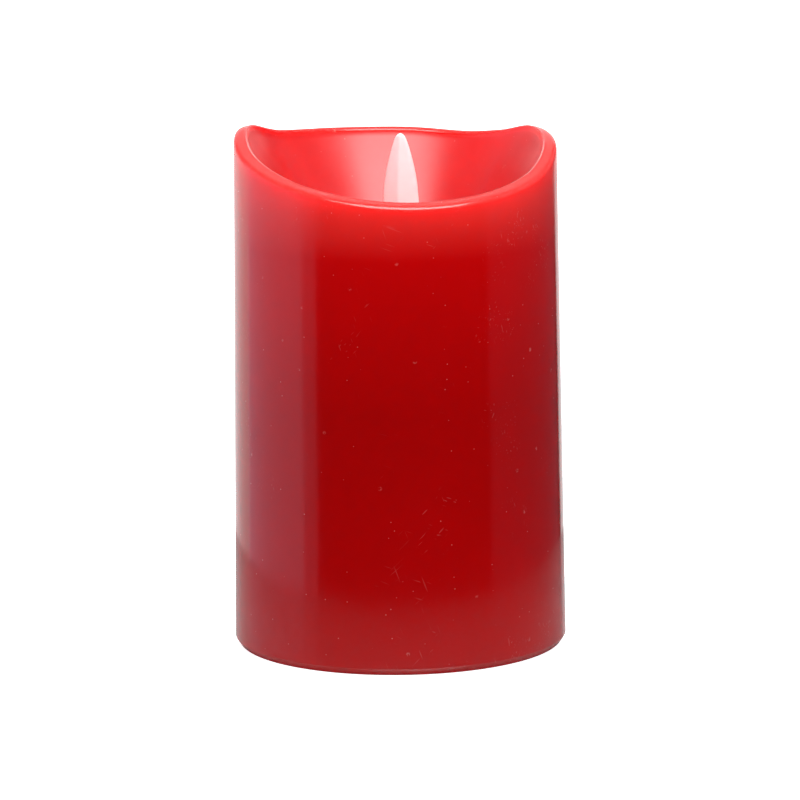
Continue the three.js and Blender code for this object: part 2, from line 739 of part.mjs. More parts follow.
const flameGroup = new THREE.Group();
flameGroup.position.x = flame.x;
flameGroup.rotation.z = wireTurn;
model.add(flameGroup);
addPart('flame', flamePiece(), flameResin, flameGroup);
const magnetTop = flame.stemBottomZ - gap;
const magnetFoot = magnetTop - magnet.thickness;
const magnetShape = turned([
  [0, magnetFoot], [magnet.radius - magnet.chamfer, magnetFoot],
  [magnet.radius, magnetFoot + magnet.chamfer], [magnet.radius, magnetTop - magnet.chamfer],
  [magnet.radius - magnet.chamfer, magnetTop], [0, magnetTop],
], 24);
addPart('flame_magnet', magnetShape, nickel, flameGroup);

// wire with a shallow dip in the middle, where the eyelet hangs
function pivotWireShape() {
  const reach = pivotWire.reach;
  const stations = [-1, -0.45, -0.15, 0, 0.15, 0.45, 1];
  const heights = [1, 0.85, 0.2, 0, 0.2, 0.85, 1];
  const route = stations.map((s, i) => onWire(s * reach, flame.pivotZ + pivotWire.rise * heights[i]));
  return lead(route, pivotWire.radius, 18);
}

addPart('pivot_wire', pivotWireShape(), steel);

// ---------- lamp ----------
const lampGroup = new THREE.Group();
lampGroup.position.set(...lamp.base);
const lampAxis = new THREE.Vector3(...lamp.aim).sub(lampGroup.position).normalize();
lampGroup.quaternion.setFromUnitVectors(new THREE.Vector3(0, 0, 1), lampAxis);
model.add(lampGroup);
lampGroup.updateMatrixWorld(true);

// round lamp with a domed nose and its two legs
function ledLamp() {
  const noseZ = lamp.length - lamp.radius;
  const dome = [];
  const domeSteps = 5;
  for (let i = 0; i <= domeSteps; i++) {
    const angle = ((Math.PI / 2) * i) / domeSteps;
    dome.push([i === domeSteps ? 0 : lamp.radius * Math.cos(angle), noseZ + lamp.radius * Math.sin(angle)]);
  }
  const body = turned([
    [0, 0], [lamp.flangeRadius, 0], [lamp.flangeRadius, lamp.flangeHeight],
    [lamp.radius, lamp.flangeHeight], ...dome,
  ], 24);
  const { legHalf } = lamp;
  const legs = [-1, 1].map((side) => {
    const x = side * lamp.legSpread;
    return block(x - legHalf, -legHalf, -lamp.legLength, x + legHalf, legHalf, lamp.flangeHeight / 2);
  });
  return join(body, ...legs);
}

// ring round the lamp with a foot that reaches to the tower's wall
function lampHolder() {
  const bore = lamp.radius + gap;
  const bottom = lamp.flangeHeight + gap;
  const ring = pipe(bore, bore + lamp.holderWall, bottom, lamp.holderTop, 24);
  const foot = block(-2, bore + lamp.holderWall / 2, bottom, 2, bore + 1.9, lamp.holderTop);
  return join(ring, foot);
}

addPart('led_lamp', ledLamp(), clearResin, lampGroup);
addPart('lamp_holder', lampHolder(), whitePlastic, lampGroup);

// ---------- coil and circuit board ----------
function coilBobbin() {
  const spool = turned([
    [coil.bore, coil.bottomZ], [coil.flangeRadius, coil.bottomZ],
    [coil.flangeRadius, coil.bottomZ + coil.flange], [coil.hubRadius, coil.bottomZ + coil.flange],
    [coil.hubRadius, coil.topZ - coil.flange], [coil.flangeRadius, coil.topZ - coil.flange],
    [coil.flangeRadius, coil.topZ], [coil.bore, coil.topZ], [coil.bore, coil.bottomZ],
  ], 24);
  const pegs = [-1, 1].map((side) =>
    rod(coil.pegRadius, board.bottomZ - 0.4, coil.bottomZ + 0.5, 0, side * coil.pegY, 12));
  return join(spool, ...pegs);
}

function circuitBoard() {
  const disc = rod(board.radius, board.bottomZ, board.topZ, 0, 0, 40);
  const pegHoles = [-1, 1].map((side) =>
    rod(coil.pegHoleRadius, board.bottomZ - 1, board.topZ + 1, flame.x, side * coil.pegY, 12));
  return cut(disc, ...pegHoles);
}

addPart('coil_bobbin', coilBobbin(), whitePlastic).position.x = flame.x;
const windingShape = pipe(
  coil.hubRadius + gap, coil.windRadius, coil.bottomZ + coil.flange + gap, coil.topZ - coil.flange - gap, 24,
);
addPart('coil_winding', windingShape, copper).position.x = flame.x;
addPart('circuit_board', circuitBoard(), boardGreen);

// components hang under the board; each is [name, length, width, height, x, y]
const underBoard = board.bottomZ - gap;
const blockParts = [
  ['control_chip', 5, 4, 1.5, -4.5, -3.5],
  ['coil_transistor', 3, 1.8, 1.1, -4, 4],
  ['resistor_1', 2, 1.2, 0.5, -8.2, 1],
  ['resistor_2', 2, 1.2, 0.5, 0, 1.2],
];
blockParts.forEach(([name, length, width, height, x, y]) => {
  const shape = block(-length / 2, -width / 2, -height, length / 2, width / 2, 0);
  addPart(name, shape, blackPlastic).position.set(x, y, underBoard);
});
addPart('timing_crystal', rodY(1, -3, 3, 0, -1, 16), steel).position.set(4.4, 2.2, underBoard);
const capacitorShape = turned([[0, -9], [2.2, -9], [2.5, -8.7], [2.5, -0.4], [2.3, 0], [0, 0]], 20);
addPart('capacitor', capacitorShape, cellSleeve).position.set(6, -5.2, underBoard);

// ---------- leads ----------
const redLead = material(0xb3161b, 0.5);
const blackLead = material(0x18181a, 0.5);
const yellowLead = material(0xd9b021, 0.5);
const tabLeadZ = contact.tabTopZ + gap + 0.1;
const terminalLeadZ = switchPin.topZ + gap;
const tabX = contact.face + contact.thickness / 2;
const leadTopZ = underBoard - 0.1;

const batteryLeadRed = [
  [tabX, -row, tabLeadZ], [27.4, -8, 23.8], [25.6, -12, 24.2], [22.6, -18.5, 21.5], [17, -23, 17],
  [9, -25, 14.6], [3.6, -25.2, 13.6], [terminalX[2], slideSwitch.y, terminalLeadZ],
];
const switchLeadRed = [
  [terminalX[1], slideSwitch.y, terminalLeadZ], [0.1, -25, 15], [0.6, -24.2, 21], [1, -21, 25.2],
  [1.2, -16, 25.7], [1.6, -11.8, 27], [2.4, -10.6, 32], [3, -10.2, 40], [3, -10, leadTopZ],
];
const switchLeadYellow = [
  [terminalX[0], slideSwitch.y, terminalLeadZ], [-2.6, -25, 15], [-2.8, -24.2, 21], [-2.8, -21, 25.2],
  [-2.8, -16, 25.7], [-3, -11.8, 27], [-3.6, -10.6, 32], [-4.2, -9.6, 40], [-4.2, -9, leadTopZ],
];
const batteryLeadBlack = [
  [tabX, row, tabLeadZ], [27, 7.4, 24], [24, 7.2, 25.4], [17, 7, 25.5], [12, 6.9, 25.6],
  [9, 6.4, 28], [8.4, 6, 34], [8.4, 5.8, 42], [8.4, 5.8, leadTopZ],
];
addPart('battery_lead_red', lead(batteryLeadRed, leadRadius, 20), redLead);
addPart('switch_lead_red', lead(switchLeadRed, leadRadius, 22), redLead);
addPart('switch_lead_yellow', lead(switchLeadYellow, leadRadius, 22), yellowLead);
addPart('battery_lead_black', lead(batteryLeadBlack, leadRadius, 22), blackLead);

// from the foot of one lamp leg down to the board
function lampLead(side) {
  const start = lampGroup.localToWorld(new THREE.Vector3(side * lamp.legSpread, 0, -lamp.legLength - gap));
  const endX = side > 0 ? 0.5 : -6.5;
  return lead([
    start.toArray(), [start.x + side * 0.3, start.y + 0.5, start.z - 3],
    [endX, 10.2, 57], [endX, 10, 52.5], [endX, 10, board.topZ + gap + 0.1],
  ], fineLeadRadius, 12);
}
addPart('lamp_lead_red', lampLead(1), redLead);
addPart('lamp_lead_black', lampLead(-1), blackLead);

// fine copper ends of the winding, down to the board
[-1, 1].forEach((side, i) => {
  const x = (distance) => flame.x + side * distance;
  const route = [
    [x(coil.windRadius + 0.6), 1.5, 54], [x(8.6), 1.7, 53.2], [x(9.2), 1.8, 52],
    [x(9.4), 1.8, board.topZ + gap],
  ];
  const shape = lead(route, coilLeadRadius, 6);
  addPart(`coil_lead_${i + 1}`, shape, copper);
});

export default model;
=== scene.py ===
# Looks of the flameless pillar candle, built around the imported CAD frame. Objects and materials are in
# metres; outlines are worked out in millimetres from the driving dimensions and then scaled by MM.
import math

import bpy
import bmesh
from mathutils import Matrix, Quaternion, Vector


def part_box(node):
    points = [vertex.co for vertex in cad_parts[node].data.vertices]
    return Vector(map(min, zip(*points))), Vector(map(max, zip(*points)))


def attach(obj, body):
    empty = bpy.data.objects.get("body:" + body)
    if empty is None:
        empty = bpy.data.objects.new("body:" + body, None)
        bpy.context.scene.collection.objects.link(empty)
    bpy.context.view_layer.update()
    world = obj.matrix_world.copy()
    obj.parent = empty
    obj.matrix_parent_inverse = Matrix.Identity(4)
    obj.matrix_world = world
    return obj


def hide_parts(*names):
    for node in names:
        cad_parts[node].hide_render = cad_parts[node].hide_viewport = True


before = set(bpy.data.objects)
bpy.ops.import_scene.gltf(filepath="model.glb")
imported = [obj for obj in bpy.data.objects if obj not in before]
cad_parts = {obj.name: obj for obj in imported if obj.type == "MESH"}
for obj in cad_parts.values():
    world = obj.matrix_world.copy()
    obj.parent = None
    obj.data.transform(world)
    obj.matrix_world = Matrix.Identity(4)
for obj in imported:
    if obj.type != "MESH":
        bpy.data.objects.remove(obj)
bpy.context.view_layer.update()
MM = 0.001

# ---------- driving dimensions, in millimetres as in the CAD ----------
WAX_BASE_RADIUS = 40.5
WAX_DRAFT = 0.01217
WAX_FOOT_CHAMFER = 1.2
WAX_FOOT_RISE = 1.7
FOOT_EDGE = 0.15  # rounding at both ends of the foot's bevel
FOOT_EDGE_SLOPE = 1.4
WAX_CAVITY_RADIUS = 34.7
WAX_CAVITY_CHAMFER = 0.6
WAX_SHOULDER_Z = 81
WAX_CEILING_RADIUS = 27.7
WAX_CEILING_Z = 88
WAX_FLOOR_Z = 92
WAX_FLOOR_RADIUS = 13
WAX_HOLE_RADIUS = 9.4
LIP_WIDTH = 3.4
LIP_RISE = 0.4
LIP_ROUND = 1.8
INNER_WALL = 1.2
BOWL_SLOPE = 0.62
BOWL_LEAN = math.degrees(math.atan(BOWL_SLOPE))
BEAD_ROUND = 0.45
BEAD_TURN = 45
BEAD_DROP = 0.05  # from the end of the bead down to the bowl's wall
BACK_ROUND = 1.05  # added to the bead's radius at the back
SIDE_STEPS = 36
BOWL_EDGE = 35.4  # radius where the bowl's finish goes over to the outside's
BOWL_BLEND = 0.5
# the painted highlight along the bead, a pale stretch: where it starts, is full, starts to fade and ends, by
# distance from the axis
PAINTED_BEAD_HIGHLIGHT = (35.62, 35.78, 36, 36.2)
# crests and dips of the rim's inner edge: (azimuth in degrees from +X, height)
RIM_POINTS = (
    (-90, 114), (-60, 114.5), (-30, 117.5), (0, 122.9), (24, 124.4), (45, 121.8), (62, 120.6),
    (84, 121.1), (110, 121.5), (140, 122.7), (170, 126.3), (200, 121.8), (235, 116.7),
)
FLAME_X = 1.3
FLAME_TURN = math.radians(-20)
FLAME_RIDGE = 0.43  # about half the thickness at the ridge, as a share of the half width
FLAME_RIM = 0.3  # half thickness just inside the blade's edge, where the blade is wide enough
FLAME_RIM_SHARE = 0.35
FLAME_HOLLOW = 1.15  # above 1, the facets are hollow-ground
FLAME_RIDGE_SOFTNESS = 0.0009
# half width and height along the blade's edge, from the tip down to the stem
FLAME_EDGE = (
    (0, 125.1), (1.25, 124.1), (2.6, 120.2), (3.85, 115), (4.45, 110), (4.5, 105.5), (3.9, 101), (1.6, 96),
)
CELL_ROW = 7.45
CELL_Z = 10.55
NUB_LENGTH = 1
NUB_RADIUS = 2.75
NUB_ROUND = 0.3
CAN_ROUND = 0.7
CAN_INSET = 0.95  # from the sleeve's end to the centre of the can's rounded edge
SLEEVE = 0.15
SPRING_TURNS = 3.25
SPRING_WIDE = 5
SPRING_NARROW = 2.6
SPRING_WIRE = 0.28
TOWER_SCREW = {"radius": 1.15, "length": 9.6}
FOOT_SCREW = {"radius": 1, "length": 3.7}
SWITCH_SCREW = {"radius": 0.6, "length": 2}
LAMP_BASE = (-2.5, 7.6, 75)
LAMP_AIM = (1.3, 0, 108)
LAMP_RADIUS = 2.5
LAMP_FLANGE_RADIUS = 2.9
LAMP_FLANGE_HEIGHT = 1
LAMP_FLANGE_ROUND = 0.15
LAMP_LENGTH = 8.6
LAMP_LEG_SPREAD = 1.27
LAMP_LEG_HALF = 0.25
LAMP_LEG_LENGTH = 9
LAMP_CUP_LEG_TOP = 3.6
LAMP_BRIDGE_LEG_TOP = 3.0
LAMP_BRIDGE_FOOT = 2.6
LAMP_CUP_OFFSET = 0.7  # from the cup's leg towards the middle
LAMP_CUP = ((0, 3.2), (0.7, 3.2), (1, 4.2), (0.85, 4.2), (0.5, 3.6), (0, 3.6))
TURN_PITCH = 0.36
BOBBIN_HUB = 3.5

# ---------- camera and light, with places in metres ----------
CAMERA_PLACE = (0, -1.4731, 0.3464)
CAMERA_TARGET = (0.00046, 0, 0.0594)
CAMERA_LENS = 277.3  # focal length in millimetres
CAMERA_ROLL = 0.65  # degrees
COOL = (0.97, 0.9, 1.12)  # slightly violet light, for the sides


# ---------- mesh helpers ----------
def new_piece(name, vertices, faces, sharp_angle=40):
    """A smooth-shaded mesh object from points in metres; edges sharper than sharp_angle stay crisp."""
    mesh = bpy.data.meshes.new(name)
    mesh.from_pydata([tuple(v) for v in vertices], [], faces)
    mesh.validate()
    piece = bpy.data.objects.new(name, mesh)
    bpy.context.collection.objects.link(piece)
    work = bmesh.new()
    work.from_mesh(mesh)
    bmesh.ops.recalc_face_normals(work, faces=work.faces)
    work.to_mesh(mesh)
    work.free()
    mesh.shade_smooth()
    mesh.set_sharp_from_angle(angle=math.radians(sharp_angle))
    return piece


def woven_torus(rings):
    """Points and faces of a surface through rings that close on themselves, and so does their row."""
    count = len(rings[0])
    total = len(rings)
    vertices = [point for ring in rings for point in ring]
    faces = []
    for i in range(total):
        for j in range(count):
            k = (j + 1) % count
            after = (i + 1) % total
            faces.append((i * count + j, after * count + j, after * count + k, i * count + k))
    return vertices, faces


def turned(profile, sides=64, ripple=None):
    """Points and faces of a body of revolution about Z, from (r, z) pairs that start and end on the axis,
    or else run round to the first pair again. ripple(angle, z) is added to r."""
    vertices = []
    rings = []
    for r, z in profile:
        first = len(vertices)
        if r == 0:
            vertices.append((0, 0, z))
            rings.append([first] * sides)
            continue
        for i in range(sides):
            angle = 2 * math.pi * i / sides
            reach = r + ripple(angle, z) if ripple else r
            vertices.append((reach * math.cos(angle), reach * math.sin(angle), z))
        rings.append(list(range(first, first + sides)))
    if profile[0][0] != 0:
        rings.append(rings[0])
    faces = []
    for lower, upper in zip(rings, rings[1:]):
        for i in range(sides):
            j = (i + 1) % sides
            faces.append(tuple(dict.fromkeys((lower[i], lower[j], upper[j], upper[i]))))
    return vertices, faces


def swept(route, radius, sides=14):
    """Points and faces of a round bar along a route of points, with flat ends."""
    points = [Vector(p) for p in route]
    last = len(points) - 1
    vertices = []
    normal = None
    for i, point in enumerate(points):
        tangent = (points[min(i + 1, last)] - points[max(i - 1, 0)]).normalized()
        if normal is None:
            normal = tangent.orthogonal()
        normal = (normal - tangent * normal.dot(tangent)).normalized()
        across = tangent.cross(normal)
        for j in range(sides):
            angle = 2 * math.pi * j / sides
            vertices.append(point + radius * (normal * math.cos(angle) + across * math.sin(angle)))
    faces = []
    for i in range(last):
        for j in range(sides):
            k = (j + 1) % sides
            faces.append((i * sides + j, i * sides + k, (i + 1) * sides + k, (i + 1) * sides + j))
    faces.append(tuple(range(sides)))
    faces.append(tuple(last * sides + j for j in range(sides)))
    return vertices, faces


def box(low, high):
    """Points and faces of a plain block, to be joined with others."""
    vertices = [(x, y, z) for x in (low[0], high[0]) for y in (low[1], high[1]) for z in (low[2], high[2])]
    faces = [(0, 1, 3, 2), (4, 6, 7, 5), (0, 4, 5, 1), (2, 3, 7, 6), (0, 2, 6, 4), (1, 5, 7, 3)]
    return vertices, faces


def together(*shapes):
    """Several (points, faces) pairs as one."""
    vertices = []
    faces = []
    for points, outline in shapes:
        start = len(vertices)
        vertices += points
        faces += [tuple(start + i for i in face) for face in outline]
    return vertices, faces


def moved(shape, origin, axis=(0, 0, 1)):
    """A shape in mm turned so that its Z runs along axis, put at origin, in metres."""
    turn = Vector((0, 0, 1)).rotation_difference(Vector(axis))
    points, faces = shape
    return [(turn @ Vector(p) + Vector(origin)) * MM for p in points], faces


def catmull(points, t):
    """Point at t (0 to 1) on a uniform Catmull-Rom curve through points; its ends repeat."""
    position = t * (len(points) - 1)
    i = min(int(position), len(points) - 2)
    w = position - i
    p0 = points[max(i - 1, 0)]
    p1, p2 = points[i], points[i + 1]
    p3 = points[min(i + 2, len(points) - 1)]
    return tuple(
        0.5 * (2 * b + (c - a) * w + (2 * a - 5 * b + 4 * c - d) * w * w + (3 * b - a - 3 * c + d) * w ** 3)
        for a, b, c, d in zip(p0, p1, p2, p3)
    )


def arc(centre_r, centre_z, radius, start, end, steps):
    """Points (r, z) on an arc from start to end degrees, both ends included."""
    angles = [math.radians(start + (end - start) * i / steps) for i in range(steps + 1)]
    return [(centre_r + radius * math.cos(a), centre_z + radius * math.sin(a)) for a in angles]


def bezier(start, bend, end, steps):
    """Points on a quadratic curve, both ends included."""
    points = []
    for i in range(steps + 1):
        t = i / steps
        points.append(tuple(
            (1 - t) ** 2 * a + 2 * t * (1 - t) * b + t * t * c for a, b, c in zip(start, bend, end)
        ))
    return points


def node_shape(node):
    """A CAD node's shape in a new bmesh, with its flat faces made whole again."""
    work = bmesh.new()
    work.from_mesh(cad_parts[node].data)
    bmesh.ops.remove_doubles(work, verts=work.verts, dist=0.001 * MM)
    bmesh.ops.dissolve_limit(work, angle_limit=math.radians(0.2), verts=work.verts, edges=work.edges)
    return work


def piece_from(work, name):
    mesh = bpy.data.meshes.new(name)
    work.to_mesh(mesh)
    work.free()
    mesh.shade_smooth()
    piece = bpy.data.objects.new(name, mesh)
    bpy.context.collection.objects.link(piece)
    return piece


def round_edges(piece, radius):
    """Rounds every hard edge of a piece by radius in mm."""
    modifier = piece.modifiers.new("round_edges", "BEVEL")
    modifier.width = radius * MM
    modifier.segments = 3
    modifier.limit_method = "ANGLE"
    modifier.angle_limit = math.radians(31)
    modifier.harden_normals = True
    return piece


def carve(piece, cutter):
    """Takes the cutter's shape away from the piece's mesh, and the cutter away with it."""
    modifier = piece.modifiers.new("carve", "BOOLEAN")
    modifier.operation = "DIFFERENCE"
    modifier.solver = "EXACT"
    modifier.object = cutter
    bpy.context.view_layer.update()
    evaluated = piece.evaluated_get(bpy.context.evaluated_depsgraph_get())
    piece.data = bpy.data.meshes.new_from_object(evaluated)
    piece.modifiers.clear()
    bpy.data.objects.remove(cutter)


# ---------- material helpers ----------
class Finish:
    """A node material with one Principled shader, and short calls that add and link its nodes."""

    def __init__(self, name, **sockets):
        self.material = bpy.data.materials.new(name)
        self.material.use_nodes = True
        self.tree = self.material.node_tree
        self.shader = self.tree.nodes["Principled BSDF"]
        self.set(self.shader, **sockets)
        self.place = self.tree.nodes.new("ShaderNodeTexCoord").outputs["Object"]

    def set(self, node, **sockets):
        for key, value in sockets.items():
            node.inputs[key.replace("_", " ")].default_value = value

    def link(self, output, node, socket):
        self.tree.links.new(output, node.inputs[socket])

    def stretched(self, scale, turn=(0, 0, 0)):
        """Object coordinates turned, then scaled along each axis, for grain and scratches."""
        where = self.place
        for setting in ({"Rotation": turn}, {"Scale": scale}):
            node = self.tree.nodes.new("ShaderNodeMapping")
            self.link(where, node, "Vector")
            self.set(node, **setting)
            where = node.outputs["Vector"]
        return where

    def coordinate(self, axis):
        """Object coordinate along one axis: Z is the height, and Y runs from the front to the back."""
        node = self.tree.nodes.new("ShaderNodeSeparateXYZ")
        self.link(self.place, node, "Vector")
        return node.outputs[axis]

    def axis_distance(self):
        """Distance from the candle's upright axis."""
        node = self.tree.nodes.new("ShaderNodeVectorMath")
        node.operation = "LENGTH"
        self.link(self.stretched((1, 1, 0)), node, 0)
        return node.outputs["Value"]

    def noise(self, scale, detail=3, where=None, roughness=0.5):
        node = self.tree.nodes.new("ShaderNodeTexNoise")
        self.link(where or self.place, node, "Vector")
        self.set(node, Scale=scale, Detail=detail, Roughness=roughness)
        return node.outputs["Fac"]

    def cells(self, scale, output="Distance", where=None):
        node = self.tree.nodes.new("ShaderNodeTexVoronoi")
        self.link(where or self.place, node, "Vector")
        self.set(node, Scale=scale)
        return node.outputs[output]

    def ramp(self, value, low, high, out_low=0.0, out_high=1.0):
        """Maps value from low..high to out_low..out_high, clamped."""
        node = self.tree.nodes.new("ShaderNodeMapRange")
        self.link(value, node, "Value")
        self.set(node, From_Min=low, From_Max=high, To_Min=out_low, To_Max=out_high)
        return node.outputs["Result"]

    def math(self, operation, a, b):
        node = self.tree.nodes.new("ShaderNodeMath")
        node.operation = operation
        for index, value in enumerate((a, b)):
            if isinstance(value, (int, float)):
                node.inputs[index].default_value = value
            else:
                self.tree.links.new(value, node.inputs[index])
        return node.outputs["Value"]

    def mix(self, factor, first, second):
        """Colour between first and second; each is an RGB triple or a colour output."""
        node = self.tree.nodes.new("ShaderNodeMix")
        node.data_type = "RGBA"
        self.tree.links.new(factor, node.inputs["Factor"])
        for socket, value in (("A", first), ("B", second)):
            target = [s for s in node.inputs if s.name == socket and s.type == "RGBA"][0]
            if isinstance(value, tuple):
                target.default_value = (*value, 1)
            else:
                self.tree.links.new(value, target)
        return [s for s in node.outputs if s.type == "RGBA"][0]

    def bump(self, height, distance, strength=1.0, below=None):
        node = self.tree.nodes.new("ShaderNodeBump")
        self.link(height, node, "Height")
        self.set(node, Distance=distance, Strength=strength)
        if below is not None:
            self.link(below, node, "Normal")
        return node.outputs["Normal"]


def dress(piece, finish):
    piece.data.materials.clear()
    piece.data.materials.append(finish.material)
    return piece


def stand_for(piece, node, body="candle_body"):
    """piece is shown in place of a CAD node, which is hidden, and goes under that node's body."""
    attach(piece, body)
    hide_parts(node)
    return piece


def carry_over(node, finish, radius=0.15, body="candle_body"):
    """The CAD node's own shape with rounded edges, shown in its place."""
    piece = round_edges(piece_from(node_shape(node), node + "_fine"), radius)
    return stand_for(dress(piece, finish), node, body)


# ---------- wax shell ----------
def rim_height(azimuth):
    """Height of the rim's inner edge: a smooth periodic curve through RIM_POINTS."""
    count = len(RIM_POINTS)
    first = RIM_POINTS[0][0]
    angle = (azimuth - first) % 360 + first

    def at(i):
        a, h = RIM_POINTS[i % count]
        return a + 360 * (i // count), h

    def slope(i):
        return (at(i + 1)[1] - at(i - 1)[1]) / (at(i + 1)[0] - at(i - 1)[0])

    i = 0
    while at(i + 1)[0] <= angle:
        i += 1
    (a0, h0), (a1, h1) = at(i), at(i + 1)
    span = a1 - a0
    t = (angle - a0) / span
    return (
        h0 * (1 + 2 * t) * (1 - t) ** 2
        + slope(i) * span * t * (1 - t) ** 2
        + h1 * t * t * (3 - 2 * t)
        + slope(i + 1) * span * t * t * (t - 1)
    )


def wax_radius(z):
    return WAX_BASE_RADIUS - WAX_DRAFT * z


def wax_section(azimuth):
    """Section of the wall as (r, z) in mm, from the foot up the outside and back down the inside."""
    crest = rim_height(azimuth)
    outer = wax_radius(crest)
    inner = outer - LIP_WIDTH
    toe = WAX_BASE_RADIUS - WAX_FOOT_CHAMFER
    heel = wax_radius(WAX_FOOT_RISE)
    foot = bezier((toe - FOOT_EDGE, 0), (toe, 0), (toe + FOOT_EDGE, FOOT_EDGE_SLOPE * FOOT_EDGE), 4)
    foot += bezier(
        (heel - FOOT_EDGE, WAX_FOOT_RISE - FOOT_EDGE_SLOPE * FOOT_EDGE), (heel, WAX_FOOT_RISE),
        (heel, WAX_FOOT_RISE + FOOT_EDGE), 4,
    )
    low = crest - LIP_ROUND
    heights = [WAX_FOOT_RISE + (low - WAX_FOOT_RISE) * i / SIDE_STEPS for i in range(1, SIDE_STEPS)]
    side = [(wax_radius(z), z) for z in heights]
    rearward = max(0.0, math.sin(math.radians(azimuth))) ** 2
    sideways = math.cos(math.radians(azimuth)) ** 2
    # the inner edge is a fine bead that stands over the lip, and fades to a plain round at the back
    edge_round = BEAD_ROUND + BACK_ROUND * rearward
    bead_start = 90 - BEAD_TURN * (1 - rearward)
    bead_end = 180 - BOWL_LEAN * (1 - sideways)
    edge = arc(inner + edge_round, crest - edge_round, edge_round, bead_start, bead_end, 12)
    lip = bezier((wax_radius(low), low), (outer, crest - LIP_RISE), edge[0], 16)[:-1]
    wall_foot = (edge[-1][0], edge[-1][1] - BEAD_DROP - (INNER_WALL - BEAD_ROUND) * sideways)
    bend = (wall_foot[0] - BOWL_SLOPE * (wall_foot[1] - WAX_FLOOR_Z), WAX_FLOOR_Z)
    bowl = bezier(wall_foot, bend, (WAX_FLOOR_RADIUS, WAX_FLOOR_Z), 40)
    hole = [(WAX_HOLE_RADIUS + 0.3, WAX_FLOOR_Z), (WAX_HOLE_RADIUS, WAX_FLOOR_Z - 0.3)]
    inside = [
        (WAX_HOLE_RADIUS, WAX_CEILING_Z), (WAX_CEILING_RADIUS, WAX_CEILING_Z),
        (WAX_CAVITY_RADIUS, WAX_SHOULDER_Z), (WAX_CAVITY_RADIUS, WAX_SHOULDER_Z / 2),
        (WAX_CAVITY_RADIUS, WAX_CAVITY_CHAMFER), (WAX_CAVITY_RADIUS + WAX_CAVITY_CHAMFER, 0),
    ]
    return foot + side + lip + edge + bowl + hole + inside


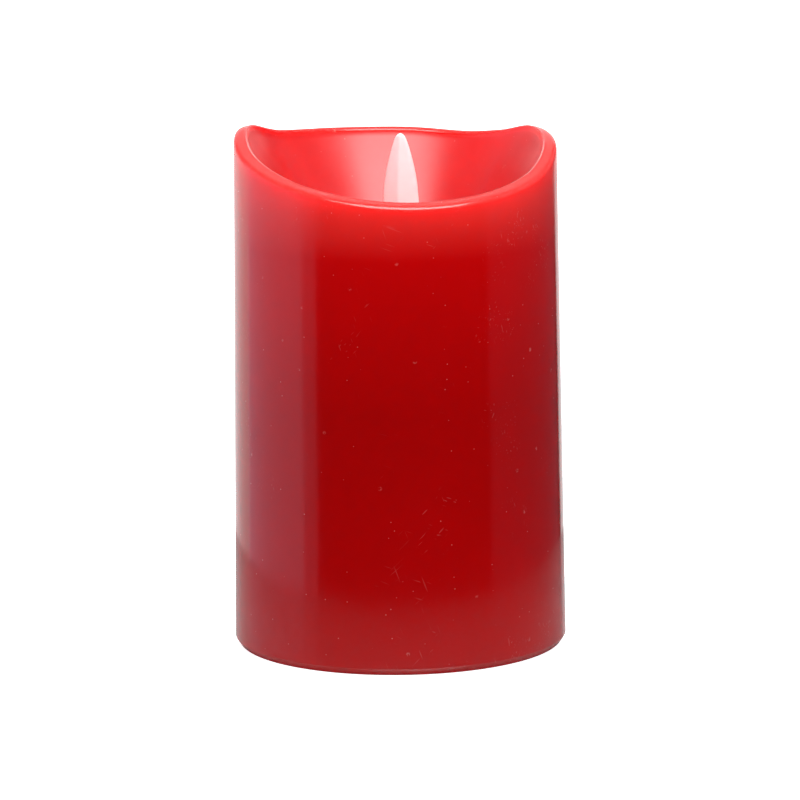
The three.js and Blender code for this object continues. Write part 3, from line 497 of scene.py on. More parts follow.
def wax_finish():
    finish = Finish(
        "red_wax",
        IOR=1.44, Subsurface_Weight=1.0, Subsurface_Radius=(1.0, 0.06, 0.05), Subsurface_Scale=0.018,
    )
    finish.shader.subsurface_method = "RANDOM_WALK"
    cloud = finish.ramp(finish.noise(22, detail=4), 0.3, 0.7, -0.12, 0.12)
    # Lighter towards the top: painted glow of the light that comes through the thin rim, with random clouding
    # laid over it.
    painted_glow_and_cloud = finish.math("ADD", finish.ramp(finish.coordinate("Z"), 0.06, 0.105), cloud)
    tint = finish.mix(painted_glow_and_cloud, (0.37, 0.0006, 0.0012), (0.52, 0.001, 0.002))
    near_rim = finish.ramp(finish.coordinate("Z"), 0.1, 0.113)
    # Paler still close to the rim: painted glow of the light passing through the thin lip.
    tint = finish.mix(near_rim, tint, (0.62, 0.028, 0.026))
    bowl_start, bowl_end = BOWL_EDGE * MM, (BOWL_EDGE + BOWL_BLEND) * MM
    bowl = finish.ramp(finish.axis_distance(), bowl_start, bowl_end, 1, 0)
    bowl_cloud = finish.ramp(finish.noise(60, detail=4, roughness=0.6), 0.3, 0.7)
    tint = finish.mix(bowl, tint, finish.mix(bowl_cloud, (0.46, 0.008, 0.009), (0.54, 0.012, 0.013)))
    # painted highlight: the bead on the front's inner edge is painted pale, on the front only, for the glint
    # of light along it
    bead_start, highlight_full, highlight_fade, bead_end = (radius * MM for radius in PAINTED_BEAD_HIGHLIGHT)
    highlight_inner = finish.ramp(finish.axis_distance(), bead_start, highlight_full, 0, 0.42)
    highlight_outer = finish.ramp(finish.axis_distance(), highlight_fade, bead_end, 1, 0)
    painted_highlight = finish.math("MULTIPLY", highlight_inner, highlight_outer)
    painted_highlight = finish.math("MULTIPLY", painted_highlight, finish.ramp(finish.coordinate("Y"), -0.008, 0.006, 1, 0))
    painted_highlight = finish.math("MULTIPLY", painted_highlight, near_rim)
    tint = finish.mix(painted_highlight, tint, (0.8, 0.42, 0.42))
    # small white crumbs and pores, in a few of the cells of a fine pattern
    crumb_size = finish.ramp(finish.cells(420), 0.06, 0.12, 1, 0)
    crumb_pick = finish.ramp(finish.cells(420, "Color"), 0.955, 0.965)
    crumb = finish.math("MULTIPLY", finish.math("MULTIPLY", crumb_size, crumb_pick), near_rim)
    # specks of dust and a few ragged smudges over the whole surface
    speck_size = finish.ramp(finish.cells(400), 0.04, 0.08, 0.32, 0)
    speck_pick = finish.ramp(finish.cells(400, "Color"), 0.5, 0.58)
    speck = finish.math("MULTIPLY", speck_size, speck_pick)
    smudge_size = finish.ramp(finish.cells(130), 0.04, 0.08, 0.22, 0)
    ragged = finish.ramp(finish.noise(1600, detail=3), 0.45, 0.6)
    speck = finish.math("MAXIMUM", speck, finish.math("MULTIPLY", smudge_size, ragged))
    # hairline scratches: the crests of a pattern stretched along one line, in a few patches
    patch = finish.ramp(finish.noise(80, detail=2), 0.56, 0.68)
    scratches = []
    for turn in ((0, 0.35, 0), (0, 1.2, 0.4), (0, -0.8, -0.3)):
        streak = finish.noise(1, detail=0, where=finish.stretched((2400, 2400, 110), turn))
        scratches.append(finish.ramp(streak, 0.76, 0.84))
    scratch = finish.math("MAXIMUM", finish.math("MAXIMUM", scratches[0], scratches[1]), scratches[2])
    depth = finish.ramp(finish.coordinate("Z"), 0.097, 0.108, 0.12, 0.25)
    outside = finish.ramp(finish.axis_distance(), bowl_start, bowl_end)
    scratch = finish.math("MULTIPLY", finish.math("MULTIPLY", scratch, patch), depth)
    scratch = finish.math("MULTIPLY", scratch, outside)
    marks = finish.math("MAXIMUM", finish.math("MAXIMUM", crumb, scratch), speck)
    finish.link(finish.mix(marks, tint, (0.78, 0.36, 0.34)), finish.shader, "Base Color")
    # the bowl is as cast, the outside is smooth, and the lip is a little scuffed
    rough = finish.ramp(finish.noise(70, detail=5), 0.25, 0.75, 0.1, 0.16)
    cast = finish.math("MULTIPLY", bowl, 0.24)
    scuffed = finish.math("MULTIPLY", finish.math("MULTIPLY", near_rim, outside), 0.08)
    rough = finish.math("ADD", finish.math("ADD", rough, cast), scuffed)
    rough = finish.math("ADD", rough, finish.math("MULTIPLY", marks, 0.3))
    finish.link(rough, finish.shader, "Roughness")
    soft = finish.bump(finish.noise(40, detail=1), 0.0003, 0.5)
    fine = finish.bump(finish.noise(260, detail=4), 0.00003, 0.4, below=soft)
    finish.link(finish.bump(marks, 0.00008, 0.6, below=fine), finish.shader, "Normal")
    return finish


def wax_shell():
    sectors = 288
    rings = []
    for i in range(sectors):
        azimuth = 360 * i / sectors
        angle = math.radians(azimuth)
        rings.append([
            (r * math.cos(angle) * MM, r * math.sin(angle) * MM, z * MM) for r, z in wax_section(azimuth)
        ])
    piece = new_piece("wax_pillar", *woven_torus(rings), sharp_angle=50)
    dress(piece, wax_finish())
    return stand_for(piece, "wax_shell")


wax_shell()


# ---------- flame ----------
def flame_finish():
    # The faint cool glow set here is painted light: no lamp lights the blade, and the glow stands for light
    # passing through it.
    finish = Finish(
        "flame_resin",
        IOR=1.46, Subsurface_Weight=1.0, Subsurface_Radius=(1.0, 0.9, 0.88), Subsurface_Scale=0.002,
        Emission_Color=(0.8, 1.0, 1.0, 1), Emission_Strength=0.1,
    )
    finish.shader.subsurface_method = "RANDOM_WALK"
    cloud = finish.noise(160, detail=3)
    finish.link(
        finish.mix(finish.ramp(cloud, 0.3, 0.7), (0.76, 0.62, 0.62), (0.8, 0.67, 0.67)),
        finish.shader, "Base Color",
    )
    finish.link(finish.ramp(finish.noise(700, detail=4), 0.3, 0.7, 0.32, 0.45), finish.shader, "Roughness")
    finish.link(finish.bump(finish.noise(900, detail=3), 0.00003, 0.5), finish.shader, "Normal")
    return finish


def flame_section(half_width):
    """Closed ring (x, y) in mm round the blade at one level: hollow-ground facets on each side of a ridge."""
    ridge = FLAME_RIDGE * half_width
    rim = min(FLAME_RIM, FLAME_RIM_SHARE * half_width)
    steps = 22
    front = []
    for i in range(steps + 1):
        u = -math.cos(math.pi * i / steps)
        fall = max(0.0, 1 - math.sqrt(u * u + FLAME_RIDGE_SOFTNESS))
        thickness = rim * (1 - u ** 8) + (ridge - rim) * fall ** FLAME_HOLLOW
        front.append((u * half_width, -thickness))
    back = [(x, -y) for x, y in reversed(front[1:-1])]
    return front + back


def flame_blade():
    levels = 60
    rings = []
    for level in range(1, levels + 1):
        half_width, z = catmull(FLAME_EDGE, (level / levels) ** 1.3)
        rings.append([(x, y, z) for x, y in flame_section(half_width)])
    count = len(rings[0])
    vertices = [(0, 0, FLAME_EDGE[0][1])] + [p for ring in rings for p in ring]
    faces = [(0, 1 + i, 1 + (i + 1) % count) for i in range(count)]
    for level in range(levels - 1):
        start = 1 + level * count
        for i in range(count):
            j = (i + 1) % count
            faces.append((start + i, start + count + i, start + count + j, start + j))
    last = 1 + (levels - 1) * count
    faces.append(tuple(last + i for i in range(count)))
    turn_cos, turn_sin = math.cos(FLAME_TURN), math.sin(FLAME_TURN)
    placed = [
        ((FLAME_X + x * turn_cos - y * turn_sin) * MM, (x * turn_sin + y * turn_cos) * MM, z * MM)
        for x, y, z in vertices
    ]
    return new_piece("flame_blade", placed, faces, sharp_angle=60)


def flame_stem():
    """The moulding below the blade: stem, eyelet and magnet pad, up to just inside the blade's foot."""
    work = node_shape("flame")
    cut_z = FLAME_EDGE[-1][1] + 0.4
    everything = work.verts[:] + work.edges[:] + work.faces[:]
    bmesh.ops.bisect_plane(
        work, geom=everything, plane_co=(0, 0, cut_z * MM), plane_no=(0, 0, 1), clear_outer=True,
    )
    rims = [edge for edge in work.edges if edge.is_boundary]
    bmesh.ops.contextual_create(work, geom=rims)
    return round_edges(piece_from(work, "flame_stem"), 0.15)


def flame():
    finish = flame_finish()
    for piece in (flame_blade(), flame_stem()):
        stand_for(dress(piece, finish), "flame", "flame_pendulum")


flame()


# ---------- finishes of the plastics, metals and coatings ----------
def moulded(name, colour, worn, rough=0.42, grain=1.0):
    """Injection-moulded plastic: a fine spark-eroded grain, faint flow marks and patches rubbed smooth."""
    finish = Finish(name, IOR=1.5)
    flow = finish.noise(90, detail=3, where=finish.stretched((1, 1, 0.25)))
    rubbed = finish.ramp(finish.noise(140, detail=4), 0.52, 0.66)
    dust = finish.math("MULTIPLY", finish.ramp(finish.cells(900), 0.05, 0.1, 1, 0),
                       finish.ramp(finish.cells(900, "Color"), 0.9, 0.92))
    base = finish.mix(finish.ramp(flow, 0.35, 0.65), colour, tuple(c * 0.86 for c in colour))
    base = finish.mix(finish.math("MULTIPLY", rubbed, 0.35), base, worn)
    finish.link(finish.mix(finish.math("MULTIPLY", dust, 0.5), base, worn), finish.shader, "Base Color")
    finish.link(
        finish.math("SUBTRACT", finish.ramp(finish.noise(400, detail=4), 0.3, 0.7, rough, rough + 0.13),
                    finish.math("MULTIPLY", rubbed, 0.1)),
        finish.shader, "Roughness",
    )
    pits = finish.bump(finish.noise(3200, detail=2), 0.00002 * grain, 0.6)
    finish.link(finish.bump(finish.noise(120, detail=1), 0.0001, 0.3, below=pits), finish.shader, "Normal")
    return finish


def metal(name, colour, stain, rough=0.22, grain_along=(1, 1, 1)):
    """Bright metal: streaks of the drawing or plating, tarnish in patches and small scratches."""
    finish = Finish(name, Metallic=1.0)
    streak = finish.noise(1, detail=3, where=finish.stretched(tuple(700 * g for g in grain_along)))
    patch = finish.ramp(finish.noise(180, detail=5, roughness=0.65), 0.5, 0.72)
    base = finish.mix(finish.ramp(streak, 0.3, 0.7), colour, tuple(c * 0.88 for c in colour))
    finish.link(finish.mix(finish.math("MULTIPLY", patch, 0.6), base, stain), finish.shader, "Base Color")
    spread = finish.ramp(streak, 0.3, 0.7, rough, rough + 0.12)
    finish.link(
        finish.math("ADD", spread, finish.math("MULTIPLY", patch, 0.18)), finish.shader, "Roughness",
    )
    lines = finish.bump(streak, 0.00001, 0.5)
    nick_lines = finish.stretched((3000, 3000, 160), (0.5, 0.9, 0))
    nicks = finish.ramp(finish.noise(1, detail=0, where=nick_lines), 0.7, 0.8)
    finish.link(finish.bump(nicks, 0.00001, 0.5, below=lines), finish.shader, "Normal")
    return finish


def vinyl(name, colour):
    """Soft coating of a lead: waxy, with the faint ribs of the strands inside."""
    finish = Finish(name, IOR=1.52)
    cloud = finish.ramp(finish.noise(260, detail=3), 0.3, 0.7)
    finish.link(finish.mix(cloud, colour, tuple(c * 0.8 for c in colour)), finish.shader, "Base Color")
    finish.link(finish.ramp(finish.noise(600, detail=3), 0.3, 0.7, 0.34, 0.5), finish.shader, "Roughness")
    finish.link(finish.bump(finish.noise(1500, detail=2), 0.00002, 0.5), finish.shader, "Normal")
    return finish


def solder_mask():
    """Green lacquer over copper tracks, which show as paler, raised lines."""
    finish = Finish("board_green", IOR=1.52)
    node = finish.tree.nodes.new("ShaderNodeTexVoronoi")
    node.feature = "DISTANCE_TO_EDGE"
    finish.link(finish.stretched((1, 1, 0)), node, "Vector")
    finish.set(node, Scale=330, Randomness=0.55)
    track = finish.ramp(node.outputs["Distance"], 0.1, 0.14, 1, 0)
    cloud = finish.ramp(finish.noise(200, detail=3), 0.3, 0.7)
    lacquer = finish.mix(cloud, (0.012, 0.11, 0.04), (0.02, 0.15, 0.055))
    finish.link(finish.mix(track, lacquer, (0.05, 0.3, 0.1)), finish.shader, "Base Color")
    finish.link(finish.ramp(finish.noise(500, detail=3), 0.3, 0.7, 0.25, 0.38), finish.shader, "Roughness")
    finish.link(finish.bump(track, 0.00003, 0.7), finish.shader, "Normal")
    return finish


def phenolic_board():
    """Brown pressed board with short fibres in it."""
    finish = Finish("phenolic_board", Specular_IOR_Level=0.4)
    fibre = finish.noise(1, detail=3, where=finish.stretched((350, 2600, 2600)))
    finish.link(finish.mix(finish.ramp(fibre, 0.35, 0.65), (0.16, 0.07, 0.03), (0.26, 0.13, 0.06)),
                finish.shader, "Base Color")
    finish.link(finish.ramp(fibre, 0.3, 0.7, 0.5, 0.68), finish.shader, "Roughness")
    finish.link(finish.bump(fibre, 0.00002, 0.6), finish.shader, "Normal")
    return finish


def shrink_sleeve(name, colour, metallic):
    """Printed film on a battery: glossy, a little stretched, scuffed where it rubs in the bay."""
    finish = Finish(name, Metallic=metallic, Coat_Weight=0.6, Coat_Roughness=0.12)
    pull = finish.noise(1, detail=2, where=finish.stretched((60, 420, 420)))
    rub_lines = finish.stretched((220, 1900, 1900), (0, 0, 0.1))
    scuff = finish.ramp(finish.noise(1, detail=1, where=rub_lines), 0.66, 0.76)
    base = finish.mix(finish.ramp(pull, 0.3, 0.7), colour, tuple(c * 0.82 for c in colour))
    finish.link(finish.mix(finish.math("MULTIPLY", scuff, 0.4), base, (0.5, 0.48, 0.45)),
                finish.shader, "Base Color")
    finish.link(
        finish.math("ADD", finish.ramp(pull, 0.3, 0.7, 0.24, 0.34), finish.math("MULTIPLY", scuff, 0.2)),
        finish.shader, "Roughness",
    )
    finish.link(finish.bump(pull, 0.00006, 0.5), finish.shader, "Normal")
    return finish


def clear_resin():
    """Cast epoxy of the lamp, warm and nearly clear, with flow lines in it."""
    finish = Finish("lamp_resin", IOR=1.53, Transmission_Weight=0.92)
    flow = finish.ramp(finish.noise(300, detail=3), 0.3, 0.7)
    finish.link(finish.mix(flow, (0.97, 0.93, 0.8), (0.93, 0.88, 0.72)), finish.shader, "Base Color")
    finish.link(finish.ramp(finish.noise(800, detail=3), 0.3, 0.7, 0.04, 0.12), finish.shader, "Roughness")
    finish.link(finish.bump(finish.noise(500, detail=2), 0.00001, 0.4), finish.shader, "Normal")
    return finish


black_abs = moulded("black_abs", (0.016, 0.016, 0.018), (0.06, 0.06, 0.062))
white_abs = moulded("white_abs", (0.82, 0.8, 0.74), (0.68, 0.64, 0.55), rough=0.4)
red_abs = moulded("red_abs", (0.30, 0.012, 0.016), (0.42, 0.05, 0.05), rough=0.36)
package_black = moulded("package_black", (0.022, 0.022, 0.024), (0.08, 0.08, 0.08), rough=0.55, grain=0.5)
bright_steel = metal("bright_steel", (0.62, 0.63, 0.65), (0.34, 0.31, 0.28))
nickel_plate = metal(
    "nickel_plate", (0.72, 0.68, 0.6), (0.45, 0.38, 0.28), rough=0.18, grain_along=(0.2, 1, 1),
)
magnet_plating = metal("magnet_plating", (0.68, 0.68, 0.69), (0.4, 0.4, 0.4), rough=0.1)
copper_wire = metal("copper_wire", (0.75, 0.3, 0.12), (0.4, 0.12, 0.05), rough=0.2)


# ---------- base: chassis, door and slide switch ----------
carry_over("base_chassis", black_abs, radius=0.25)
carry_over("battery_door", black_abs, radius=0.25, body="door_panel")
carry_over("switch_slider", black_abs, radius=0.15, body="slider")
carry_over("switch_case", bright_steel, radius=0.12)
carry_over("switch_base", phenolic_board(), radius=0.1)
for number in (1, 2, 3):
    carry_over(f"switch_terminal_{number}", nickel_plate, radius=0.06)


# ---------- cells and contacts ----------
def cell_axis(node, direction):
    """Middle of the cell's body, half its length, its radius, and its axis towards the positive end."""
    low, high = (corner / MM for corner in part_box(node))
    half = (high.x - low.x - NUB_LENGTH) / 2
    middle = (low + high) / 2 - Vector((direction * NUB_LENGTH / 2, 0, 0))
    return middle, half, (high.z - low.z) / 2, (direction, 0, 0)


def cell_can(node, direction):
    """Steel can with its flat end, its pressed rim and the positive nub."""
    middle, half, radius, axis = cell_axis(node, direction)
    body = radius - SLEEVE
    nub = arc(NUB_RADIUS - NUB_ROUND, half + NUB_LENGTH - NUB_ROUND, NUB_ROUND, 0, 90, 5)
    profile = [(0, -half + 0.1), (4.8, -half + 0.1), (5.2, -half), (5.7, -half)]
    profile += arc(body - CAN_ROUND, -half + CAN_INSET, CAN_ROUND, -90, 0, 6)
    profile += arc(body - CAN_ROUND, half - CAN_INSET, CAN_ROUND, 0, 90, 6)
    profile += [(5.5, half - 0.25), (5, half - 0.8), (3.4, half - 0.8), (3, half - 0.4), (NUB_RADIUS, half)]
    profile += nub + [(0, half + NUB_LENGTH)]
    piece = new_piece(node + "_can", *moved(turned(profile), middle, axis), sharp_angle=50)
    return stand_for(dress(piece, nickel_plate), node)


def cell_film(node, direction, suffix, finish, start, end):
    """Stretch of the cell's printed sleeve from start to end, folded over the can at a real end."""
    middle, half, radius, axis = cell_axis(node, direction)
    fold = 0.8
    lip = radius - fold - 0.9
    outside = [(radius, start), (radius, end)]
    inside = [(radius - SLEEVE, end), (radius - SLEEVE, start)]
    if start <= -half:
        outside = [(lip, -half), *arc(radius - fold, -half + fold, fold, -90, 0, 6), outside[1]]
        inside = [inside[0], *arc(radius - fold, -half + fold, fold - SLEEVE, 0, -90, 6),
                  (lip, -half + SLEEVE)]
    if end >= half:
        outside = [outside[0], *arc(radius - fold, half - fold, fold, 0, 90, 6), (lip, half)]
        inside = [(lip, half - SLEEVE),
                  *arc(radius - fold, half - fold, fold - SLEEVE, 90, 0, 6), inside[1]]
    shape = moved(turned(outside + inside), middle, axis)
    piece = new_piece(node + suffix, *shape, sharp_angle=50)
    return stand_for(dress(piece, finish), node)


def contact_spring(node, y):
    """Conical spring from its plate to the cell's flat end, wound about X."""
    low, high = (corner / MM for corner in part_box(node))
    side = 1 if low.x > 0 else -1
    plate_x = high.x - SPRING_WIRE if side > 0 else low.x + SPRING_WIRE
    cell_x = low.x + SPRING_WIRE if side > 0 else high.x - SPRING_WIRE
    steps = 260
    route = []
    for i in range(steps + 1):
        t = i / steps
        angle = 2 * math.pi * SPRING_TURNS * t
        radius = SPRING_WIDE + (SPRING_NARROW - SPRING_WIDE) * t
        x = plate_x + (cell_x - plate_x) * t
        route.append((x, y + radius * math.cos(angle), CELL_Z + radius * math.sin(angle)))
    shape = moved(swept(route, SPRING_WIRE), (0, 0, 0))
    return stand_for(dress(new_piece(node + "_coil", *shape), nickel_plate), node)


dark_film = shrink_sleeve("cell_sleeve", (0.035, 0.04, 0.05), 0.3)
amber_film = shrink_sleeve("cell_band", (0.62, 0.33, 0.12), 0.8)
for cell_node, towards in (("cell_1", 1), ("cell_2", -1)):
    cell_can(cell_node, towards)
    half_length = cell_axis(cell_node, towards)[1]
    band_start = half_length * 0.45
    cell_film(cell_node, towards, "_sleeve", dark_film, -half_length, band_start)
    cell_film(cell_node, towards, "_band", amber_film, band_start, half_length)
for plate in ("positive_plate", "negative_plate", "link_plate"):
    carry_over(plate, nickel_plate, radius=0.1)
contact_spring("negative_spring", CELL_ROW)
contact_spring("link_spring", -CELL_ROW)


# ---------- tower, cap, wire and screws ----------
def screw(node, size, axis):
    """Pan-head screw with a cross recess and a rolled thread, along axis from its head's underside."""
    shank, length = size["radius"], size["length"]
    head_radius = shank * 1.9
    head_height = shank * 1.3
    root = shank * 0.8
    pitch = shank * 0.7
    tip_z = -length + shank * 1.2
    thread_steps = 8 * int(-tip_z / pitch)

    def ridge(angle, z):
        if not tip_z < z < -0.15:
            return 0
        phase = (z / pitch - angle / (2 * math.pi)) % 1
        return (shank - root) * max(0, 1 - abs(phase - 0.5) * 4)

    profile = [(0, -length), (shank * 0.25, -length + 0.05)]
    profile += [(root, tip_z * (1 - i / thread_steps)) for i in range(thread_steps + 1)]
    profile += arc(head_radius - 0.1, 0.1, 0.1, -90, 0, 3)
    profile += bezier(
        (head_radius, head_height * 0.45), (head_radius, head_height), (head_radius * 0.45, head_height), 8,
    )
    profile += [(0, head_height)]
    low, high = (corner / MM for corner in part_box(node))
    middle = (low + high) / 2
    drop = Vector(axis) * (length - head_height) / 2
    body = new_piece(node + "_threaded", *moved(turned(profile, 40, ridge), middle + drop, axis))
    slot = shank * 0.22
    reach = shank * 0.95
    floor_z = head_height * 0.45
    bars = [box((-reach, -slot, floor_z), (reach, slot, head_height + 1)),
            box((-slot, -reach, floor_z), (slot, reach, head_height + 1))]
    for bar in bars:
        cutter = new_piece(node + "_recess", *moved(bar, middle + drop, axis))
        carve(body, cutter)
    body.data.set_sharp_from_angle(angle=math.radians(40))
    return stand_for(dress(body, bright_steel), node)


carry_over("tower_front", white_abs, radius=0.2)
carry_over("tower_rear", white_abs, radius=0.2)
carry_over("top_cap", red_abs, radius=0.2)
for number in (1, 2, 3, 4):
    screw(f"tower_screw_{number}", TOWER_SCREW, (0, -1, 0))
    screw(f"foot_screw_{number}", FOOT_SCREW, (0, 0, 1))
for number in (1, 2):
    screw(f"switch_screw_{number}", SWITCH_SCREW, (0, 0, 1))
carry_over("flame_magnet", magnet_plating, radius=0.1, body="flame_pendulum")


# ---------- lamp ----------
def lamp():
    """Clear domed lens, and the lead frame in it: two legs, the cup and the post."""
    axis = Vector(LAMP_AIM) - Vector(LAMP_BASE)
    nose_z = LAMP_LENGTH - LAMP_RADIUS
    corner = LAMP_FLANGE_RADIUS - LAMP_FLANGE_ROUND
    profile = [(0, 0), *arc(corner, LAMP_FLANGE_ROUND, LAMP_FLANGE_ROUND, -90, 0, 4)]
    profile += arc(corner, LAMP_FLANGE_HEIGHT - LAMP_FLANGE_ROUND, LAMP_FLANGE_ROUND, 0, 90, 4)
    profile += [(LAMP_RADIUS, LAMP_FLANGE_HEIGHT)]
    profile += arc(0, nose_z, LAMP_RADIUS, 0, 90, 20)[:-1] + [(0, LAMP_LENGTH)]
    lens = new_piece("lamp_lens", *moved(turned(profile), LAMP_BASE, axis), sharp_angle=50)
    stand_for(dress(lens, clear_resin()), "led_lamp")
    legs = []
    for side, top in ((-1, LAMP_CUP_LEG_TOP), (1, LAMP_BRIDGE_LEG_TOP)):
        x = side * LAMP_LEG_SPREAD
        half = LAMP_LEG_HALF
        legs.append(box((x - half, -half, -LAMP_LEG_LENGTH), (x + half, half, top)))
    cup_points, cup_faces = turned(LAMP_CUP, 32)
    cup = [(x - LAMP_LEG_SPREAD + LAMP_CUP_OFFSET, y, z) for x, y, z in cup_points], cup_faces
    bridge = box(
        (0.35, -LAMP_LEG_HALF, LAMP_BRIDGE_FOOT), (LAMP_LEG_SPREAD, LAMP_LEG_HALF, LAMP_BRIDGE_LEG_TOP),
    )
    inside = new_piece("lamp_frame", *moved(together(*legs, cup, bridge), LAMP_BASE, axis))
    stand_for(dress(round_edges(inside, 0.05), bright_steel), "led_lamp")


lamp()
carry_over("lamp_holder", white_abs, radius=0.12)


# ---------- coil and circuit board ----------
def coil_winding():
    """Enamelled wire wound in level turns, each turn a half round on the outside."""
    low, high = (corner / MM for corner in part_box("coil_winding"))
    radius = (high.x - low.x) / 2
    turns = int((high.z - low.z) / TURN_PITCH)
    pitch = (high.z - low.z) / turns
    outside = []
    for turn in range(turns):
        outside += arc(radius - pitch / 2, low.z + pitch * (turn + 0.5), pitch / 2, -80, 80, 5)
    profile = [(BOBBIN_HUB, low.z), *outside, (BOBBIN_HUB, high.z)]
    middle = (low + high) / 2
    shape = moved(turned(profile, 72), (middle.x, middle.y, 0))
    return stand_for(dress(new_piece("coil_turns", *shape, sharp_angle=60), copper_wire), "coil_winding")


carry_over("coil_bobbin", white_abs, radius=0.15)
coil_winding()
carry_over("circuit_board", solder_mask(), radius=0.08)
for component in ("control_chip", "coil_transistor", "resistor_1", "resistor_2"):
    carry_over(component, package_black, radius=0.08)
carry_over("timing_crystal", bright_steel, radius=0.2)
carry_over("capacitor", dark_film, radius=0.2)


# ---------- leads ----------
def round_bar(node, finish):
    """A lead or wire: the CAD node's faceted bar made round by subdivision, with its cut ends kept."""
    work = node_shape(node)
    crease = work.edges.layers.float.new("crease_edge")
    for edge in work.edges:
        if edge.calc_face_angle(0) > math.radians(75):
            edge[crease] = 1
    piece = piece_from(work, node + "_round")
    modifier = piece.modifiers.new("round_section", "SUBSURF")
    modifier.levels = 2
    modifier.render_levels = 2
    return stand_for(dress(piece, finish), node)


lead_red = vinyl("lead_red", (0.5, 0.015, 0.015))
lead_black = vinyl("lead_black", (0.015, 0.015, 0.015))
for lead, coating in (
    ("battery_lead_red", lead_red), ("switch_lead_red", lead_red), ("lamp_lead_red", lead_red),
    ("battery_lead_black", lead_black), ("lamp_lead_black", lead_black),
    ("switch_lead_yellow", vinyl("lead_yellow", (0.75, 0.5, 0.03))),
    ("coil_lead_1", copper_wire), ("coil_lead_2", copper_wire), ("pivot_wire", bright_steel),
):
    round_bar(lead, coating)


# ---------- stage, light and camera ----------
def disc(name, radius, centre, colour, edge_colour, **sockets):
    """A round flat piece of the stage, painted in a colour that goes over to another towards its edge."""
    count = 96
    turns = [2 * math.pi * i / count for i in range(count)]
    x, y, z = centre
    points = [(x + radius * math.cos(a), y + radius * math.sin(a), z) for a in turns]
    piece = new_piece(name, points, [tuple(range(count))])
    piece.data.flip_normals()
    finish = Finish(name + "_paint", **sockets)
    mottle = finish.ramp(finish.noise(6, detail=2), 0.3, 0.7, -0.02, 0.02)
    outward = finish.math("ADD", finish.ramp(finish.axis_distance(), 0.5 * radius, radius), mottle)
    finish.link(finish.mix(outward, colour, edge_colour), finish.shader, "Base Color")
    dress(piece, finish)
    return piece


def see_from_above_only(tree):
    """Lets an eye under the floor look up through it at the candle's foot."""
    out = tree.nodes["Material Output"]
    side = tree.nodes.new("ShaderNodeNewGeometry")
    clear = tree.nodes.new("ShaderNodeBsdfTransparent")
    mix = tree.nodes.new("ShaderNodeMixShader")
    tree.links.new(side.outputs["Backfacing"], mix.inputs["Fac"])
    tree.links.new(tree.nodes["Principled BSDF"].outputs["BSDF"], mix.inputs[1])
    tree.links.new(clear.outputs["BSDF"], mix.inputs[2])
    tree.links.new(mix.outputs["Shader"], out.inputs["Surface"])


def floor():
    """White to the eye. What the candle mirrors in place of it is a smaller, duller table top."""
    glow = {"Emission_Color": (1, 1, 1, 1), "Emission_Strength": 1.0}
    wide = disc("floor", 4.0, (0, 0, -0.0001), (0.85, 0.85, 0.85), (0.8, 0.8, 0.8), Roughness=0.9, **glow)
    see_from_above_only(wide.data.materials[0].node_tree)
    wide.visible_glossy = False
    wide.visible_diffuse = False
    wide.visible_transmission = False
    wide.visible_shadow = False
    # The table top goes darker towards its edge: painted shade, for the light falling off across it as the
    # candle mirrors it.
    top = disc(
        "table_top", 0.135, (0, 0.012, -0.0004), (0.35, 0.35, 0.35), (0.16, 0.16, 0.16),
        Roughness=0.15, IOR=1.9,
    )
    top.visible_camera = False
    top.visible_shadow = False


def softbox(name, centre, target, width, height, radiance, colour=(1, 1, 1)):
    """A rectangular light that the camera doesn't see; radiance is its own brightness."""
    data = bpy.data.lights.new(name, "AREA")
    data.shape = "RECTANGLE"
    data.size = width
    data.size_y = height
    data.energy = math.pi * width * height * radiance
    data.color = colour
    light = bpy.data.objects.new(name, data)
    bpy.context.collection.objects.link(light)
    light.location = centre
    light.rotation_mode = "QUATERNION"
    light.rotation_quaternion = (Vector(target) - Vector(centre)).to_track_quat("-Z", "Y")
    light.visible_camera = False


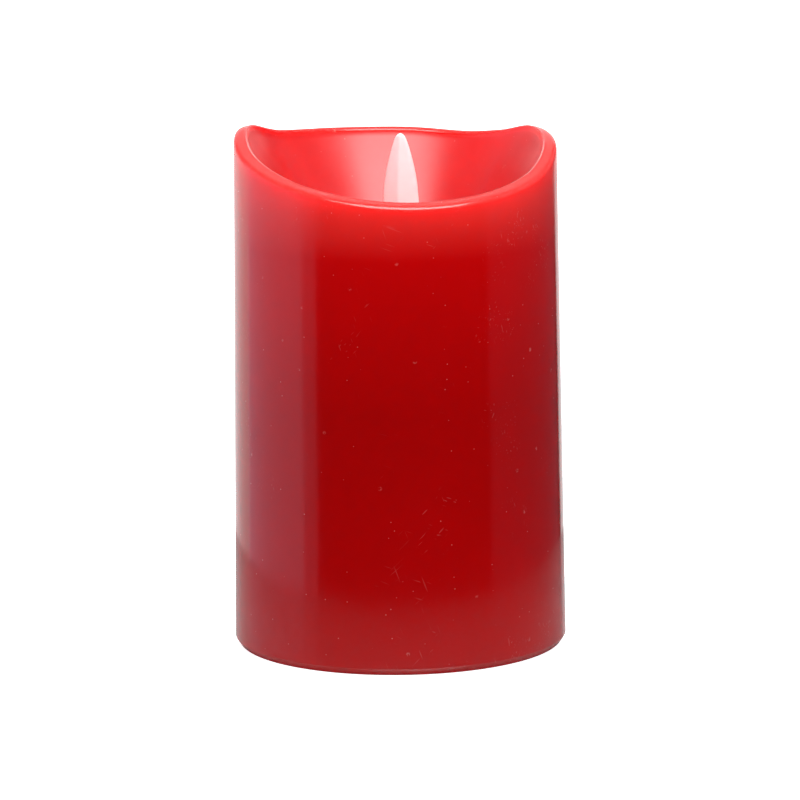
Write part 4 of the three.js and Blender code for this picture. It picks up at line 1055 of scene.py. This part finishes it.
def studio_world():
    """White to the eye, and a dim room to the candle."""
    world = bpy.data.worlds.new("studio")
    bpy.context.scene.world = world
    world.use_nodes = True
    tree = world.node_tree
    tree.nodes.clear()
    out = tree.nodes.new("ShaderNodeOutputWorld")
    mix = tree.nodes.new("ShaderNodeMixShader")
    path = tree.nodes.new("ShaderNodeLightPath")
    tree.links.new(path.outputs["Is Camera Ray"], mix.inputs["Fac"])
    for index, strength in ((1, 0.02), (2, 1.0)):
        shade = tree.nodes.new("ShaderNodeBackground")
        shade.inputs["Color"].default_value = (1, 1, 1, 1)
        shade.inputs["Strength"].default_value = strength
        tree.links.new(shade.outputs["Background"], mix.inputs[index])
    tree.links.new(mix.outputs["Shader"], out.inputs["Surface"])


def camera():
    data = bpy.data.cameras.new("camera")
    data.sensor_width = 36
    data.lens = CAMERA_LENS
    eye = bpy.data.objects.new("camera", data)
    bpy.context.collection.objects.link(eye)
    eye.location = CAMERA_PLACE
    look = Vector(CAMERA_TARGET) - eye.location
    roll = Quaternion(look.normalized(), math.radians(CAMERA_ROLL))
    eye.rotation_mode = "QUATERNION"
    eye.rotation_quaternion = roll @ look.to_track_quat("-Z", "Y")
    bpy.context.scene.camera = eye


floor()
softbox("top_softbox", (0.1, -0.42, 1.0), (0, 0, 0.1), 0.95, 0.7, 12.5)
softbox("left_softbox", (-0.75, 0.158, 0.05), (0, 0.158, 0.05), 0.9, 1.0, 0.92, COOL)
softbox("left_feather", (-0.75, -0.38, 0.05), (0, -0.38, 0.05), 0.176, 1.0, 0.4, COOL)
softbox("left_high", (-1.0, 0.5, 0.95), (0, 0, 0.1), 1.8, 1.1, 0.2)
softbox("right_softbox", (0.75, 0.43, 0.25), (0, 0.43, 0.25), 1.53, 1.3, 0.1, COOL)
softbox("right_high", (1.0, 0.5, 0.95), (0, 0, 0.1), 1.8, 1.1, 0.24)
softbox("left_low", (-1.0, -0.1, -0.9), (0, 0, 0.05), 1.0, 0.8, 2.4)
softbox("right_low", (1.0, -0.1, -0.9), (0, 0, 0.05), 1.0, 0.8, 1.8)
softbox("backdrop_low", (-0.44, 1.2, -0.2), (-0.44, 0, -0.2), 2.05, 1.3, 1.05)
softbox("backdrop_high", (-0.1, 1.2, 1.7), (-0.1, 0, 1.7), 1.2, 2.5, 0.65)
softbox("under_softbox", (0, 0, -0.8), (0, 0, 0), 0.4, 0.4, 2.5)
studio_world()
camera()
bpy.context.scene.view_settings.view_transform = "Standard"
